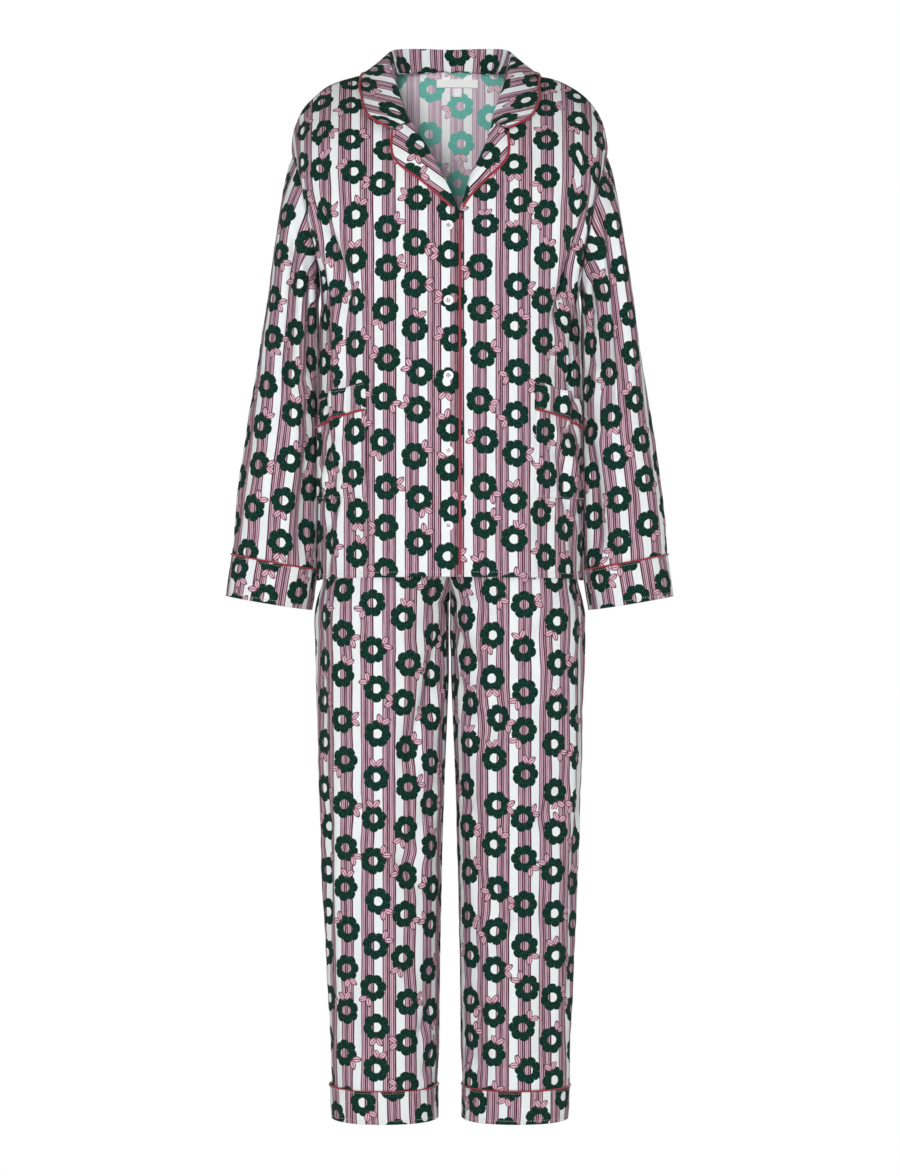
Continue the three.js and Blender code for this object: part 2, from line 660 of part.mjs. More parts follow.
function addButtons() {
  const { radius, thickness } = button;
  const profile = [
    [0, 0],
    [radius - 0.6, 0],
    [radius, 0.7],
    [radius, thickness - 0.5],
    [radius - 0.8, thickness],
    [radius - 1.9, thickness - 0.5],
    [0, thickness - 0.5],
  ].map(([x, y]) => new THREE.Vector2(x, y));
  for (let i = 0; i < button.count; i++) {
    const place = frontPlace(-1, button.x, button.firstZ - i * button.pitch);
    const normal = toSide(frontNormal(-1, place.u, place.at), -1);
    const mesh = addMesh(`button_${i + 1}`, new THREE.LatheGeometry(profile, 12), white);
    mesh.position.copy(toSide(onFront(-1, place.u, place.at, seamGap), -1));
    mesh.quaternion.setFromUnitVectors(new THREE.Vector3(0, 1, 0), normal);
  }
}

// A flat tape on the inside of the back, given by its middle, its width and two heights.
function addTape(name, tape) {
  const count = name === "neck_label" ? 6 : 2;
  const surface = (share, rise) => {
    const at = mix(tape.bottomAt, tape.topAt, rise);
    const x = tape.x + (share - 0.5) * tape.width;
    const side = x < 0 ? -1 : 1;
    const across = Math.abs(x) / outerEdge(at, false).x;
    const u = (2 / Math.PI) * Math.asin(across ** (torsoRoundness / 2));
    const slope = backPoint(side, u, at + 0.003).sub(backPoint(side, u, at - 0.003));
    const inward = new THREE.Vector3(0, -slope.z, slope.y).normalize();
    const point = toSide(backPoint(side, u, at), side);
    return point.addScaledVector(inward, clothThickness + tapeClearance + tapeThickness);
  };
  const rows = grid(surface, steps(0, 1, count), steps(0, 1, 2), 1);
  addMesh(name, wall([{ rows, flip: false }], tapeThickness), white);
}

// A trouser panel's outer surface at a height; u runs from inseam or centre seam to side seam.
function legPoint(side, u, z, front) {
  const read = (name) => column(trouserRows, name, z);
  const [centre, half] = [read("centre"), read("half")];
  const start = Math.max((seamGap / 2 - centre) / half, -1);
  const startAngle = Math.sign(start) * Math.asin(Math.abs(start) ** (legRoundness / 2));
  const angle = mix(startAngle, Math.PI / 2, u);
  const power = (value) => Math.sign(value) * Math.abs(value) ** (2 / legRoundness);
  const reach = power(Math.sin(angle));
  const depth = power(Math.max(Math.cos(angle), 0));
  const facing = front ? -1 : 1;
  const fade = smooth(0, 0.12, u) * (1 - smooth(0.9, 1, u)) * smooth(legSeamZ, legSeamZ + 40, z);
  const push = foldOffset(legFolds, side, u * legRowLength, z) * fade;
  const onCentre = u === 0 && start > -1;
  const x = onCentre ? seamGap / 2 : centre + (half + push) * reach;
  const y = Math.max(read(front ? "front" : "back") * depth, seamGap / 2) + push * depth;
  return new THREE.Vector3(x, facing * y, z);
}

const legColumns = steps(0, 1, 10);
const legHeights = [...steps(legSeamZ + seamGap, -756, 10), -718, crotchZ];
const hipHeights = [-686, -664, -636, -590, -530, waistSeamZ];

function addTrouserPanel(side, front) {
  const surface = (u, z) => legPoint(side, u, z, front);
  const heights = [...legHeights, ...hipHeights];
  const rows = grid(surface, legColumns, heights, side);
  const seam = (i, j) => {
    const inseam = i === 0 && heights[j] <= crotchZ;
    return inseam || i === legColumns.length - 1 ? [levelSeam] : [];
  };
  const flip = front ? side < 0 : side > 0;
  const name = `trouser_${front ? "front" : "back"}_${sideName(side)}`;
  addMesh(name, wall([{ rows, flip, seam }], clothThickness), fabric);
}

// A ring of the trousers at a height, all the way round.
function legRing(turn, z) {
  const quarter = turn <= 0.5 ? turn * 2 : 2 - turn * 2;
  const point = legPoint(0, 1 - quarter, z, turn <= 0.5);
  if (quarter === 0 || quarter === 1) point.y = 0;
  return point;
}

function addLegCuff(side) {
  const rows = grid(closing((turn, z) => legRing(turn, z)), roundSteps, steps(legSeamZ, legHemZ, 2), side);
  addMesh(`leg_cuff_${sideName(side)}`, wall([{ rows, flip: side < 0 }], clothThickness), inset);
  const centre = new THREE.Vector3(column(trouserRows, "centre", legSeamZ), 0, legSeamZ);
  const points = roundSteps.slice(0, -1).map((turn) => {
    const point = legRing(turn, legSeamZ);
    const out = point.clone().sub(centre).normalize();
    return toSide(point.addScaledVector(out, seamGap + pipingRadius), side);
  });
  addMesh(`piping_leg_cuff_${sideName(side)}`, piping(points, true), crimson);
}

function addWaistband() {
  const top = trouserRows[trouserRows.length - 1];
  const surface = closing((turn, z) => {
    const angle = turn * 2 * Math.PI;
    const power = (value) => Math.sign(value) * Math.abs(value) ** (2 / legRoundness);
    return new THREE.Vector3(top.half * power(Math.cos(angle)), -top.front * power(Math.sin(angle)), z);
  });
  const heights = steps(waistTopZ, waistSeamZ + seamGap, 2);
  const rows = grid(surface, steps(0, 1, 28), heights, 1);
  addMesh("waistband", wall([{ rows, flip: false }], 2.5), inset);
}

for (const side of [-1, 1]) {
  addFront(side);
  addSleeve(side);
  addSleeveCuff(side);
  addLapel(side);
  addPocket(side);
  addTrouserPanel(side, true);
  addTrouserPanel(side, false);
  addLegCuff(side);
}
addBack();
addCollar();
addFrontPiping();
addButtons();
addTape("neck_label", neckLabel);
addTape("size_tag", sizeTag);
addWaistband();

export default set;
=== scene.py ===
import bmesh
import bpy
import numpy as np
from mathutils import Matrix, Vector


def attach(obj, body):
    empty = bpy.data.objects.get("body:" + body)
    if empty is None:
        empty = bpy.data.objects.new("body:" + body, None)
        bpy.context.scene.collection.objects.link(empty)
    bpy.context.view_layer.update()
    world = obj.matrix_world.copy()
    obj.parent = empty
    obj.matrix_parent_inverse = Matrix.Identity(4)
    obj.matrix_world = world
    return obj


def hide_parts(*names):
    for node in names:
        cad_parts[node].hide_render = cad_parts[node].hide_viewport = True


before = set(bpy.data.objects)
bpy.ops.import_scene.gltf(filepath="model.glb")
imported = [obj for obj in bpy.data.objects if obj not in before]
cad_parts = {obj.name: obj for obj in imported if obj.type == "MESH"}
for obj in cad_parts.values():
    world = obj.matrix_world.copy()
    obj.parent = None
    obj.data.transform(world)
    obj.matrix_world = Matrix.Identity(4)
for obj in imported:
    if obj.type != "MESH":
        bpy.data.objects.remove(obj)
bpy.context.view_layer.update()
mm = 0.001
seamGap = 0.3
sideNames = {1: "left", -1: "right"}
print("frame loaded")

# Camera: level with the hips, 4.5 m in front, at the photograph's framing.
view = {"distance": 4.5, "height": -0.6, "aimHeight": -0.686, "frameHeight": 1.5876, "sensor": 36}
cameraData = bpy.data.cameras.new("frontCamera")
cameraData.sensor_fit = "VERTICAL"
cameraData.sensor_height = view["sensor"]
cameraData.lens = view["sensor"] * view["distance"] / view["frameHeight"]
camera = bpy.data.objects.new("frontCamera", cameraData)
camera.location = (0, -view["distance"], view["height"])
aim = Vector((0, 0, view["aimHeight"])) - camera.location
camera.rotation_euler = aim.to_track_quat("-Z", "Y").to_euler()
bpy.context.scene.collection.objects.link(camera)
bpy.context.scene.camera = camera
bpy.context.scene.view_settings.view_transform = "Standard"


def mix(a, b, t):
    return a + (b - a) * t


def smooth(low, high, value):
    t = np.clip((value - low) / (high - low), 0, 1)
    return t * t * (3 - 2 * t)


# A table's column as a smooth curve through its rows: between two rows a cubic, whose slope
# at each row is the slope from the row before to the row after.
def column(table, name, at):
    knots, values = np.array(table["at"], float), np.array(table[name], float)
    index = np.arange(len(knots))
    before, after = np.maximum(index - 1, 0), np.minimum(index + 1, len(knots) - 1)
    slopes = (values[after] - values[before]) / (knots[after] - knots[before])
    i = np.clip(np.searchsorted(knots, at, side="right") - 1, 0, len(knots) - 2)
    span = knots[i + 1] - knots[i]
    t = (at - knots[i]) / span
    toEnd = t * t * (3 - 2 * t)
    bend = t * (1 - t) * (1 - t) * slopes[i] - t * t * (1 - t) * slopes[i + 1]
    return mix(values[i], values[i + 1], toEnd) + bend * span


# How far folds push the cloth out: each is a soft trough or ridge along a line from one place
# to another, with a lower roll of the other kind on both sides, fading at its two ends.
def foldPush(folds, side, across, along):
    push = np.zeros(np.broadcast(across, along).shape)
    for foldSide, across0, along0, across1, along1, width, depth, bow in folds:
        if foldSide != side:
            continue
        dx, dz = across1 - across0, along1 - along0
        length = np.hypot(dx, dz)
        t = ((across - across0) * dx + (along - along0) * dz) / length**2
        off = ((across - across0) * dz - (along - along0) * dx) / length
        off = (off + bow * np.sin(np.pi * np.clip(t, 0, 1))) / width
        fade = smooth(-0.15, 0.25, t) * (1 - smooth(0.75, 1.15, t))
        crease = np.exp(-np.abs(off) ** (1.5 if depth < 0 else 2))
        roll = crease - 0.32 * np.exp(-((off - 1.9) ** 2)) - 0.24 * np.exp(-((off + 2.1) ** 2))
        push += depth * fade * roll
    return push


# Small waves all over the cloth: a sum of sines along fixed directions in space, so that two
# panels that meet move together.
rippleDraw = np.random.default_rng(7)
rippleWaves = [
    (rippleDraw.normal(size=3) * (1, 1, 0.45), length, rippleDraw.uniform(0, 2 * np.pi), height)
    for length, height in [(190, 0.9), (140, 0.8), (105, 0.6), (80, 0.5),
                           (62, 0.35), (47, 0.28), (36, 0.2), (27, 0.13)]
]


def ripple(points):
    total = np.zeros(points.shape[:-1])
    for direction, length, phase, height in rippleWaves:
        unit = direction / np.linalg.norm(direction)
        total += height * np.sin(points @ unit * 2 * np.pi / length + phase)
    return total


# Outward normals of a surface (u, v) -> points: the cross product of its two small steps.
def normalsOf(surface, u, v, outward=1, step=0.003):
    du = surface(np.minimum(u + step, 1), v) - surface(np.maximum(u - step, 0), v)
    dv = surface(u, np.minimum(v + step, 1)) - surface(u, np.maximum(v - step, 0))
    normal = np.cross(du, dv)
    return outward * normal / np.maximum(np.linalg.norm(normal, axis=-1, keepdims=True), 1e-9)


def mirrored(points, side):
    return points * (side, 1, 1)


# Distances summed along one direction of a grid, from zero at its start.
def runLength(points, axis):
    steps = np.linalg.norm(np.diff(points, axis=axis), axis=-1)
    pad = [(0, 0), (0, 0)]
    pad[axis] = (1, 0)
    return np.pad(np.cumsum(steps, axis=axis), pad)


# Woven cloth hardly shears, so a place across the cloth is the mean over the rows within reach.
def evenRows(across, points, reach=34):
    rowStep = np.linalg.norm(points[-1] - points[0], axis=-1).mean() / (len(points) - 1)
    near = int(reach / rowStep)
    span = 2 * near + 1
    total = np.cumsum(np.pad(np.pad(across, ((near, near), (0, 0)), mode="edge"), ((1, 0), (0, 0))), axis=0)
    return (total[span:] - total[:-span]) / span


# One mesh from grids of points. Points at one place become one vertex, so rings close and
# halves join; each face keeps its own place on the cloth as UV, in metres.
def meshFromGrids(name, grids):
    allPoints, allFaces, allUvs, start = [], [], [], 0
    for points, uv, flip in grids:
        rows, cols = points.shape[:2]
        ids = start + np.arange(rows * cols).reshape(rows, cols)
        corners = [ids[:-1, :-1], ids[:-1, 1:], ids[1:, 1:], ids[1:, :-1]]
        if flip:
            corners = [corners[0], corners[3], corners[2], corners[1]]
        allFaces.append(np.stack(corners, -1).reshape(-1, 4))
        allPoints.append(points.reshape(-1, 3))
        allUvs.append(uv.reshape(-1, 2))
        start += rows * cols
    points, faces, uvs = (np.concatenate(part) for part in (allPoints, allFaces, allUvs))
    keys = np.round(points * 50).astype(np.int64)
    _, first, places = np.unique(keys, axis=0, return_index=True, return_inverse=True)
    mesh = bpy.data.meshes.new(name)
    mesh.from_pydata(points[first] * mm, [], places.ravel()[faces])
    layer = mesh.uv_layers.new(name="cloth")
    layer.data.foreach_set("uv", (uvs[faces] * mm).astype(np.float32).ravel())
    mesh.polygons.foreach_set("use_smooth", np.ones(len(mesh.polygons), bool))
    mesh.update()
    return mesh


def addPiece(mesh, materials, node):
    piece = bpy.data.objects.new(mesh.name, mesh)
    bpy.context.scene.collection.objects.link(piece)
    for material in materials:
        mesh.materials.append(material)
    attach(piece, "root")
    if node:
        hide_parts(node)
    return piece


# Cloth: a sheet of grids with its wall behind it; the wrong side takes the second material.
def addCloth(name, grids, thickness, lining=None, facing=None):
    mesh = meshFromGrids(f"{name}_cloth", grids)
    piece = addPiece(mesh, [facing or printedCotton, lining or wrongSide], name)
    wallMaker = piece.modifiers.new("wall", "SOLIDIFY")
    wallMaker.thickness = thickness * mm
    wallMaker.offset = -1
    wallMaker.material_offset = 1
    return piece


# Shader helpers: a value goes into a socket as a link or as a number.
def feed(tree, socket, value):
    if isinstance(value, bpy.types.NodeSocket):
        tree.links.new(value, socket)
    else:
        socket.default_value = value


def sums(tree, operation, *values, clamp=False):
    node = tree.nodes.new("ShaderNodeMath")
    node.operation = operation
    node.use_clamp = clamp
    for socket, value in zip(node.inputs, values):
        feed(tree, socket, value)
    return node.outputs[0]


# From 0 to 1 as the value goes from low to high, with soft ends.
def step(tree, value, low, high):
    node = tree.nodes.new("ShaderNodeMapRange")
    node.interpolation_type = "SMOOTHSTEP"
    for name, item in (("Value", value), ("From Min", low), ("From Max", high)):
        feed(tree, node.inputs[name], item)
    return node.outputs["Result"]


def blendColours(tree, mask, below, above, kind="MIX"):
    node = tree.nodes.new("ShaderNodeMix")
    node.data_type = "RGBA"
    node.blend_type = kind
    feed(tree, node.inputs["Factor"], mask)
    feed(tree, node.inputs[6], below)
    feed(tree, node.inputs[7], above)
    return node.outputs[2]


def noise(tree, vector, scale, detail=2, roughness=0.5, out="Fac"):
    node = tree.nodes.new("ShaderNodeTexNoise")
    feed(tree, node.inputs["Vector"], vector)
    node.inputs["Scale"].default_value = scale
    node.inputs["Detail"].default_value = detail
    node.inputs["Roughness"].default_value = roughness
    return node.outputs[out]


def joinVector(tree, x, y, z=0.0):
    node = tree.nodes.new("ShaderNodeCombineXYZ")
    for socket, value in zip(node.inputs, (x, y, z)):
        feed(tree, socket, value)
    return node.outputs[0]


def splitVector(tree, vector):
    node = tree.nodes.new("ShaderNodeSeparateXYZ")
    feed(tree, node.inputs[0], vector)
    return node.outputs


def newGroup(name, inputs, outputs):
    group = bpy.data.node_groups.new(name, "ShaderNodeTree")
    for socketName, kind, value in inputs:
        socket = group.interface.new_socket(socketName, in_out="INPUT", socket_type=kind)
        if value is not None:
            socket.default_value = value
    for socketName, kind in outputs:
        group.interface.new_socket(socketName, in_out="OUTPUT", socket_type=kind)
    return group, group.nodes.new("NodeGroupInput").outputs, group.nodes.new("NodeGroupOutput").inputs


def placeGroup(tree, group, **values):
    node = tree.nodes.new("ShaderNodeGroup")
    node.node_tree = group
    for name, value in values.items():
        feed(tree, node.inputs[name], value)
    return node.outputs


# sRGB colour of 0..255 as the linear colour that Blender keeps.
def colour(red, green, blue):
    values = np.array([red, green, blue]) / 255
    linear = np.where(values <= 0.04045, values / 12.92, ((values + 0.055) / 1.055) ** 2.4)
    return (*linear.tolist(), 1)


# The print, in millimetres of cloth: bands of fine uneven lines between white bands, and
# open flowers with two small leaves in columns, each column a third of a row lower.
printSizes = {
    "bandPeriod": 30, "bandShare": 0.63, "lineCount": 7, "lineShare": 0.68, "lineSway": 0.6,
    "columnWidth": 43.5, "rowHeight": 56.5, "flowerRadius": 18.5, "centreShare": 0.34,
    "petals": 7, "petalDepth": 0.2, "edgeRoughness": 1.1, "wanderX": 9, "wanderY": 8,
    "leafPlace": 14, "leafAngle": 0.68, "leafLength": 7.2, "leafWidth": 4.1,
}


def makePrint():
    sizes = printSizes
    outputs = [(name, "NodeSocketFloat") for name in ("Band", "Line", "Flower", "Vein", "Leaf", "LeafLine")]
    group, given, result = newGroup("printOnCloth", [("Vector", "NodeSocketVector", None)], outputs)
    scaled = group.nodes.new("ShaderNodeVectorMath")
    scaled.operation = "SCALE"
    feed(group, scaled.inputs[0], given["Vector"])
    scaled.inputs["Scale"].default_value = 1000
    place = scaled.outputs[0]
    u, v, _ = splitVector(group, place)

    def calc(operation, *values):
        return sums(group, operation, *values)

    # lines: each sways slowly along its length and changes in width
    slow = joinVector(group, calc("MULTIPLY", u, 0.3), calc("MULTIPLY", v, 0.02))
    sway = calc("MULTIPLY", calc("SUBTRACT", noise(group, slow, 1), 0.5), 2 * sizes["lineSway"])
    drawnU = calc("ADD", u, sway)
    phase = calc("FRACT", calc("DIVIDE", drawnU, sizes["bandPeriod"]))
    bandEdge = 0.4 / sizes["bandPeriod"]
    band = calc("MULTIPLY", step(group, phase, 0, bandEdge),
                calc("SUBTRACT", 1, step(group, phase, sizes["bandShare"] - bandEdge, sizes["bandShare"])))
    lineAt = calc("MULTIPLY", phase, sizes["lineCount"] / sizes["bandShare"])
    inLine = calc("ABSOLUTE", calc("SUBTRACT", calc("FRACT", lineAt), 0.5))
    lineKind = group.nodes.new("ShaderNodeTexWhiteNoise")
    lineKind.noise_dimensions = "1D"
    feed(group, lineKind.inputs["W"], calc("FLOOR", lineAt))
    dry = noise(group, joinVector(group, calc("MULTIPLY", u, 1.2), calc("MULTIPLY", v, 0.09)), 1, 3)
    halfLine = calc("ADD", calc("MULTIPLY", lineKind.outputs["Value"], 0.16),
                    calc("ADD", sizes["lineShare"] / 2 - 0.18, calc("MULTIPLY", dry, 0.2)))
    line = calc("SUBTRACT", 1, step(group, calc("SUBTRACT", inLine, halfLine), -0.05, 0.07))
    line = calc("MULTIPLY", line, calc("ADD", calc("MULTIPLY", lineKind.outputs["Value"], 0.36), 0.64))

    # motifs: cells two columns wide are laid twice, half a cell apart, so that no leaf is cut
    # off at its cell's edge; each motif has its own place in its cell and its own turn
    ragged = calc("MULTIPLY", calc("SUBTRACT", noise(group, place, 0.35, 3), 0.5),
        2 * sizes["edgeRoughness"])
    mottle = step(group, noise(group, place, 0.55, 3, 0.6), 0.5, 0.62)

    def inCell(at, size, shift, wander):
        middle = calc("MULTIPLY", calc("SUBTRACT", calc("FRACT", at), 0.5), size)
        return calc("ADD", middle, calc("MULTIPLY", calc("SUBTRACT", shift, 0.5), wander))

    def motifLayer(shift):
        columnAt = calc("ADD", calc("DIVIDE", u, 2 * sizes["columnWidth"]), shift)
        columnPlace = calc("ADD", calc("FLOOR", columnAt), 0.5 - shift)
        rowAt = calc("ADD", calc("DIVIDE", v, sizes["rowHeight"]), calc("MULTIPLY", columnPlace, 2 / 3))
        chance = group.nodes.new("ShaderNodeTexWhiteNoise")
        chance.noise_dimensions = "2D"
        feed(group, chance.inputs["Vector"], joinVector(group, columnPlace, calc("FLOOR", rowAt)))
        chanceX, chanceY, chanceTurn = splitVector(group, chance.outputs["Color"])
        x = inCell(columnAt, 2 * sizes["columnWidth"], chanceX, sizes["wanderX"])
        y = inCell(rowAt, sizes["rowHeight"], chanceY, sizes["wanderY"])

        # an open flower: the rim swells and narrows once for each petal
        angle = calc("ADD", calc("ARCTAN2", y, x), calc("MULTIPLY", chanceTurn, 6.2832))
        plainReach = calc("SQRT", calc("ADD", calc("MULTIPLY", x, x), calc("MULTIPLY", y, y)))
        reach = calc("ADD", plainReach, ragged)
        lobe = calc("ABSOLUTE", calc("SINE", calc("MULTIPLY", angle, sizes["petals"] / 2)))
        rim = calc("MULTIPLY", sizes["flowerRadius"],
                   calc("ADD", 1 - sizes["petalDepth"], calc("MULTIPLY", calc("POWER", lobe, 0.5),
                       sizes["petalDepth"])))
        flower = calc("SUBTRACT", 1, step(group, calc("SUBTRACT", reach, rim), -0.3, 0.3))
        centre = sizes["centreShare"] * sizes["flowerRadius"]
        flower = calc("MULTIPLY", flower, step(group, reach, centre - 0.3, centre + 0.3))
        betweenPetals = calc("SUBTRACT", 1, step(group, lobe, 0.04, 0.1))
        vein = calc("MULTIPLY", flower, calc("MULTIPLY", betweenPetals,
            step(group, reach, centre + 2, centre + 4)))

        # two leaves that open from one place on the rim: ovals with a dark edge and midrib
        awayX = calc("SUBTRACT", calc("MULTIPLY", plainReach, calc("COSINE", angle)), sizes["leafPlace"])
        awayY = calc("ABSOLUTE", calc("MULTIPLY", plainReach, calc("SINE", angle)))
        slantX, slantY = np.cos(sizes["leafAngle"]), np.sin(sizes["leafAngle"])
        alongLeaf = calc("ADD", calc("MULTIPLY", awayX, slantX), calc("MULTIPLY", awayY, slantY))
        acrossLeaf = calc("SUBTRACT", calc("MULTIPLY", awayY, slantX), calc("MULTIPLY", awayX, slantY))
        fromMiddle = calc("ABSOLUTE", calc("DIVIDE", calc("SUBTRACT", alongLeaf, sizes["leafLength"]),
            sizes["leafLength"]))
        aside = calc("ABSOLUTE", calc("DIVIDE", calc("ADD", acrossLeaf, calc("MULTIPLY", ragged, 0.3)),
            sizes["leafWidth"]))
        oval = calc("ADD", calc("POWER", fromMiddle, 2), calc("POWER", aside, 1.6))
        leaf = calc("SUBTRACT", 1, step(group, oval, 0.92, 1.08))
        leafLine = calc("MAXIMUM", step(group, oval, 0.56, 0.7),
            calc("SUBTRACT", 1, step(group, calc("ABSOLUTE", acrossLeaf), 0.3, 0.6)))
        return flower, vein, leaf, calc("MULTIPLY", leaf, leafLine)

    flower, vein, leaf, leafLine = [calc("MAXIMUM", a, b) for a, b in zip(motifLayer(0), motifLayer(0.5))]
    vein = calc("MAXIMUM", vein, mottle)
    for name, value in (("Band", band), ("Line", line), ("Flower", flower), ("Vein", vein),
                        ("Leaf", leaf), ("LeafLine", leafLine)):
        feed(group, result[name], value)
    return group


# The cloth's surface, in metres of cloth: threads both ways, slubs along them, and crinkles.
def makeWeave():
    inputs = [("Vector", "NodeSocketVector", None), ("Threads", "NodeSocketFloat", 1.0),
        ("Crinkle", "NodeSocketFloat", 1.0)]
    group, given, result = newGroup("clothSurface", inputs,
        [("Height", "NodeSocketFloat"), ("Shade", "NodeSocketFloat")])
    x, y, _ = splitVector(group, given["Vector"])
    threadPitch = 0.00055

    def thread(across, along):
        wave = sums(group, "SINE", sums(group, "MULTIPLY", across, 2 * np.pi / threadPitch))
        slub = noise(group, joinVector(group, sums(group, "MULTIPLY", across, 1500),
            sums(group, "MULTIPLY", along, 90)), 1, 2)
        return sums(group, "MULTIPLY", wave, sums(group, "ADD", slub, 0.2))

    threads = sums(group, "MULTIPLY", sums(group, "ADD", thread(x, y), thread(y, x)), given["Threads"])
    fine = noise(group, given["Vector"], 420, 4, 0.62)
    broad = noise(group, given["Vector"], 95, 3, 0.55)
    crinkle = sums(group, "MULTIPLY", sums(group, "ADD", sums(group, "MULTIPLY", fine, 0.5), broad),
        given["Crinkle"])
    height = sums(group, "ADD", sums(group, "MULTIPLY", threads, 0.06), crinkle)
    shade = sums(group, "ADD", sums(group, "MULTIPLY", fine, 0.65),
        sums(group, "MULTIPLY", noise(group, given["Vector"], 900, 2), 0.35))
    feed(group, result["Height"], height)
    feed(group, result["Shade"], shade)
    return group


printGroup, weaveGroup = makePrint(), makeWeave()


# A material on the piece's own cloth coordinates, with its shader ready to be fed.
def newMaterial(name, roughness, sheen=0.0, **fixed):
    material = bpy.data.materials.new(name)
    material.use_nodes = True
    tree = material.node_tree
    shader = tree.nodes["Principled BSDF"]
    shader.inputs["Roughness"].default_value = roughness
    shader.inputs["Sheen Weight"].default_value = sheen
    for socketName, value in fixed.items():
        shader.inputs[socketName.replace("_", " ")].default_value = value
    where = tree.nodes.new("ShaderNodeUVMap")
    where.uv_map = "cloth"
    return material, tree, shader, where.outputs[0]


def bumpFrom(tree, shader, height, distance, strength=0.6):
    bump = tree.nodes.new("ShaderNodeBump")
    bump.inputs["Strength"].default_value = strength
    bump.inputs["Distance"].default_value = distance
    feed(tree, bump.inputs["Height"], height)
    tree.links.new(bump.outputs[0], shader.inputs["Normal"])


outsideColours = {
    "white": colour(238, 243, 243), "ground": colour(228, 194, 208), "line": colour(80, 24, 46),
    "flower": colour(2, 37, 28), "vein": colour(20, 78, 62), "leaf": colour(224, 182, 197),
    "leafLine": colour(78, 20, 42), "darkest": 0.82, "lightest": 1.06,
}
insideColours = {
    "white": colour(252, 254, 254), "ground": colour(244, 232, 239), "line": colour(192, 160, 178),
    "flower": colour(108, 190, 176), "vein": colour(134, 204, 192), "leaf": colour(240, 220, 228),
    "leafLine": colour(190, 150, 166), "darkest": 0.88, "lightest": 1.04,
}


def makePrintedCotton(name, colours):
    material, tree, shader, where = newMaterial(name, 0.88, 0.02, Specular_IOR_Level=0.18)
    motifs = placeGroup(tree, printGroup, Vector=where)
    surface = placeGroup(tree, weaveGroup, Vector=where)
    shown = blendColours(tree, motifs["Line"], colours["ground"], colours["line"])
    shown = blendColours(tree, motifs["Band"], colours["white"], shown)
    petal = blendColours(tree, motifs["Vein"], colours["flower"], colours["vein"])
    shown = blendColours(tree, motifs["Flower"], shown, petal)
    shown = blendColours(tree, motifs["Leaf"], shown, colours["leaf"])
    shown = blendColours(tree, motifs["LeafLine"], shown, colours["leafLine"])
    spread = colours["lightest"] - colours["darkest"]
    shade = sums(tree, "ADD", sums(tree, "MULTIPLY", surface["Shade"], 1.6 * spread),
        colours["darkest"] - 0.3 * spread)
    tone = joinVector(tree, shade, shade, shade)
    feed(tree, shader.inputs["Base Color"], blendColours(tree, 1.0, shown, tone, "MULTIPLY"))
    bumpFrom(tree, shader, surface["Height"], 0.0011)
    return material


printedCotton = makePrintedCotton("printedCottonOutside", outsideColours)
wrongSide = makePrintedCotton("printedCottonInside", insideColours)


# Plain stuffs: a colour that varies a little over the weave, and the weave's own height.
def makePlainCloth(
        name, shown, roughness, spread, threads=1.0, crinkle=0.5, sheen=0.1, bump=0.0006, **fixed):
    material, tree, shader, where = newMaterial(name, roughness, sheen, **fixed)
    surface = placeGroup(tree, weaveGroup, Vector=where, Threads=threads, Crinkle=crinkle)
    shade = sums(tree, "ADD", sums(tree, "MULTIPLY", surface["Shade"], 2 * spread), 1 - spread)
    feed(tree, shader.inputs["Base Color"],
        blendColours(tree, 1.0, shown, joinVector(tree, shade, shade, shade), "MULTIPLY"))
    feed(tree, shader.inputs["Roughness"],
        sums(tree, "ADD", sums(tree, "MULTIPLY", surface["Shade"], 0.2), roughness - 0.1))
    bumpFrom(tree, shader, surface["Height"], bump)
    return material


crimsonSatin = makePlainCloth("crimsonSatin", colour(156, 26, 50), 0.5, 0.16, threads=2.0, crinkle=0.3,
    sheen=0.2)
plainCotton = makePlainCloth("undyedCotton", colour(238, 236, 236), 0.85, 0.05)
labelSatin = makePlainCloth("labelTape", colour(252, 252, 250), 0.6, 0.02, threads=2.5, crinkle=0.1,
    bump=0.0003)
# The button thread is greyed darker than the pale thread itself, as painted shade in the holes it passes
# through.
buttonThreadPaintedShade = makePlainCloth("buttonThreadPaintedShade", colour(150, 140, 146), 0.7, 0.1, threads=1.5, crinkle=0.4,
    bump=0.0003)
paleThread = makePlainCloth("sewingThread", colour(214, 190, 200), 0.7, 0.1, threads=1.5, crinkle=0.4,
    bump=0.0003)
print("materials made")

# The shirt's body. at is the share of the way from hem (0) to shoulder seam (1).
shirtBody = {
    "hemZ": -669, "underarmZ": -285, "underarmAt": 0.58, "lapelFootAt": 0.73, "gorgeAt": 0.92,
    "backNeckAt": 0.95, "roundness": 2.35, "rowLength": 256, "underlapDepth": 3.2,
    "thickness": 0.9, "columns": 86, "rows": 214, "hemDepth": 7, "hemRise": 0.45,
    "seamDip": 0.9, "seamReach": 4, "swell": 3.2, "swellPlace": 11, "swellWidth": 7,
}
frontEdgeTable = {
    "at": (0, 0.29, 0.58, 0.7, 0.73, 0.8, 0.86, 0.92, 0.96, 1),
    "lapX": (-11, -11, -11, -11, -11, 10, 28, 52, 66, 74),
    "underX": (-11, -11, -11, -9, 11, 28, 44, 57, 68, 74),
    "y": (-120, -126, -128, -124, -122, -113, -99, -78, -44, 0),
    "z": (-669, -477, -285, -207, -188, -141, -106, -67, -28, 6),
}
backEdgeTable = {
    "at": (0, 0.29, 0.58, 0.76, 0.88, 0.95, 0.98, 1),
    "x": (0, 0, 0, 0, 0, 0, 50, 74),
    "y": (123, 119, 119, 112, 89, 62, 45, 0),
    "z": (-669, -477, -285, -160, -56, 14, 12, 6),
}
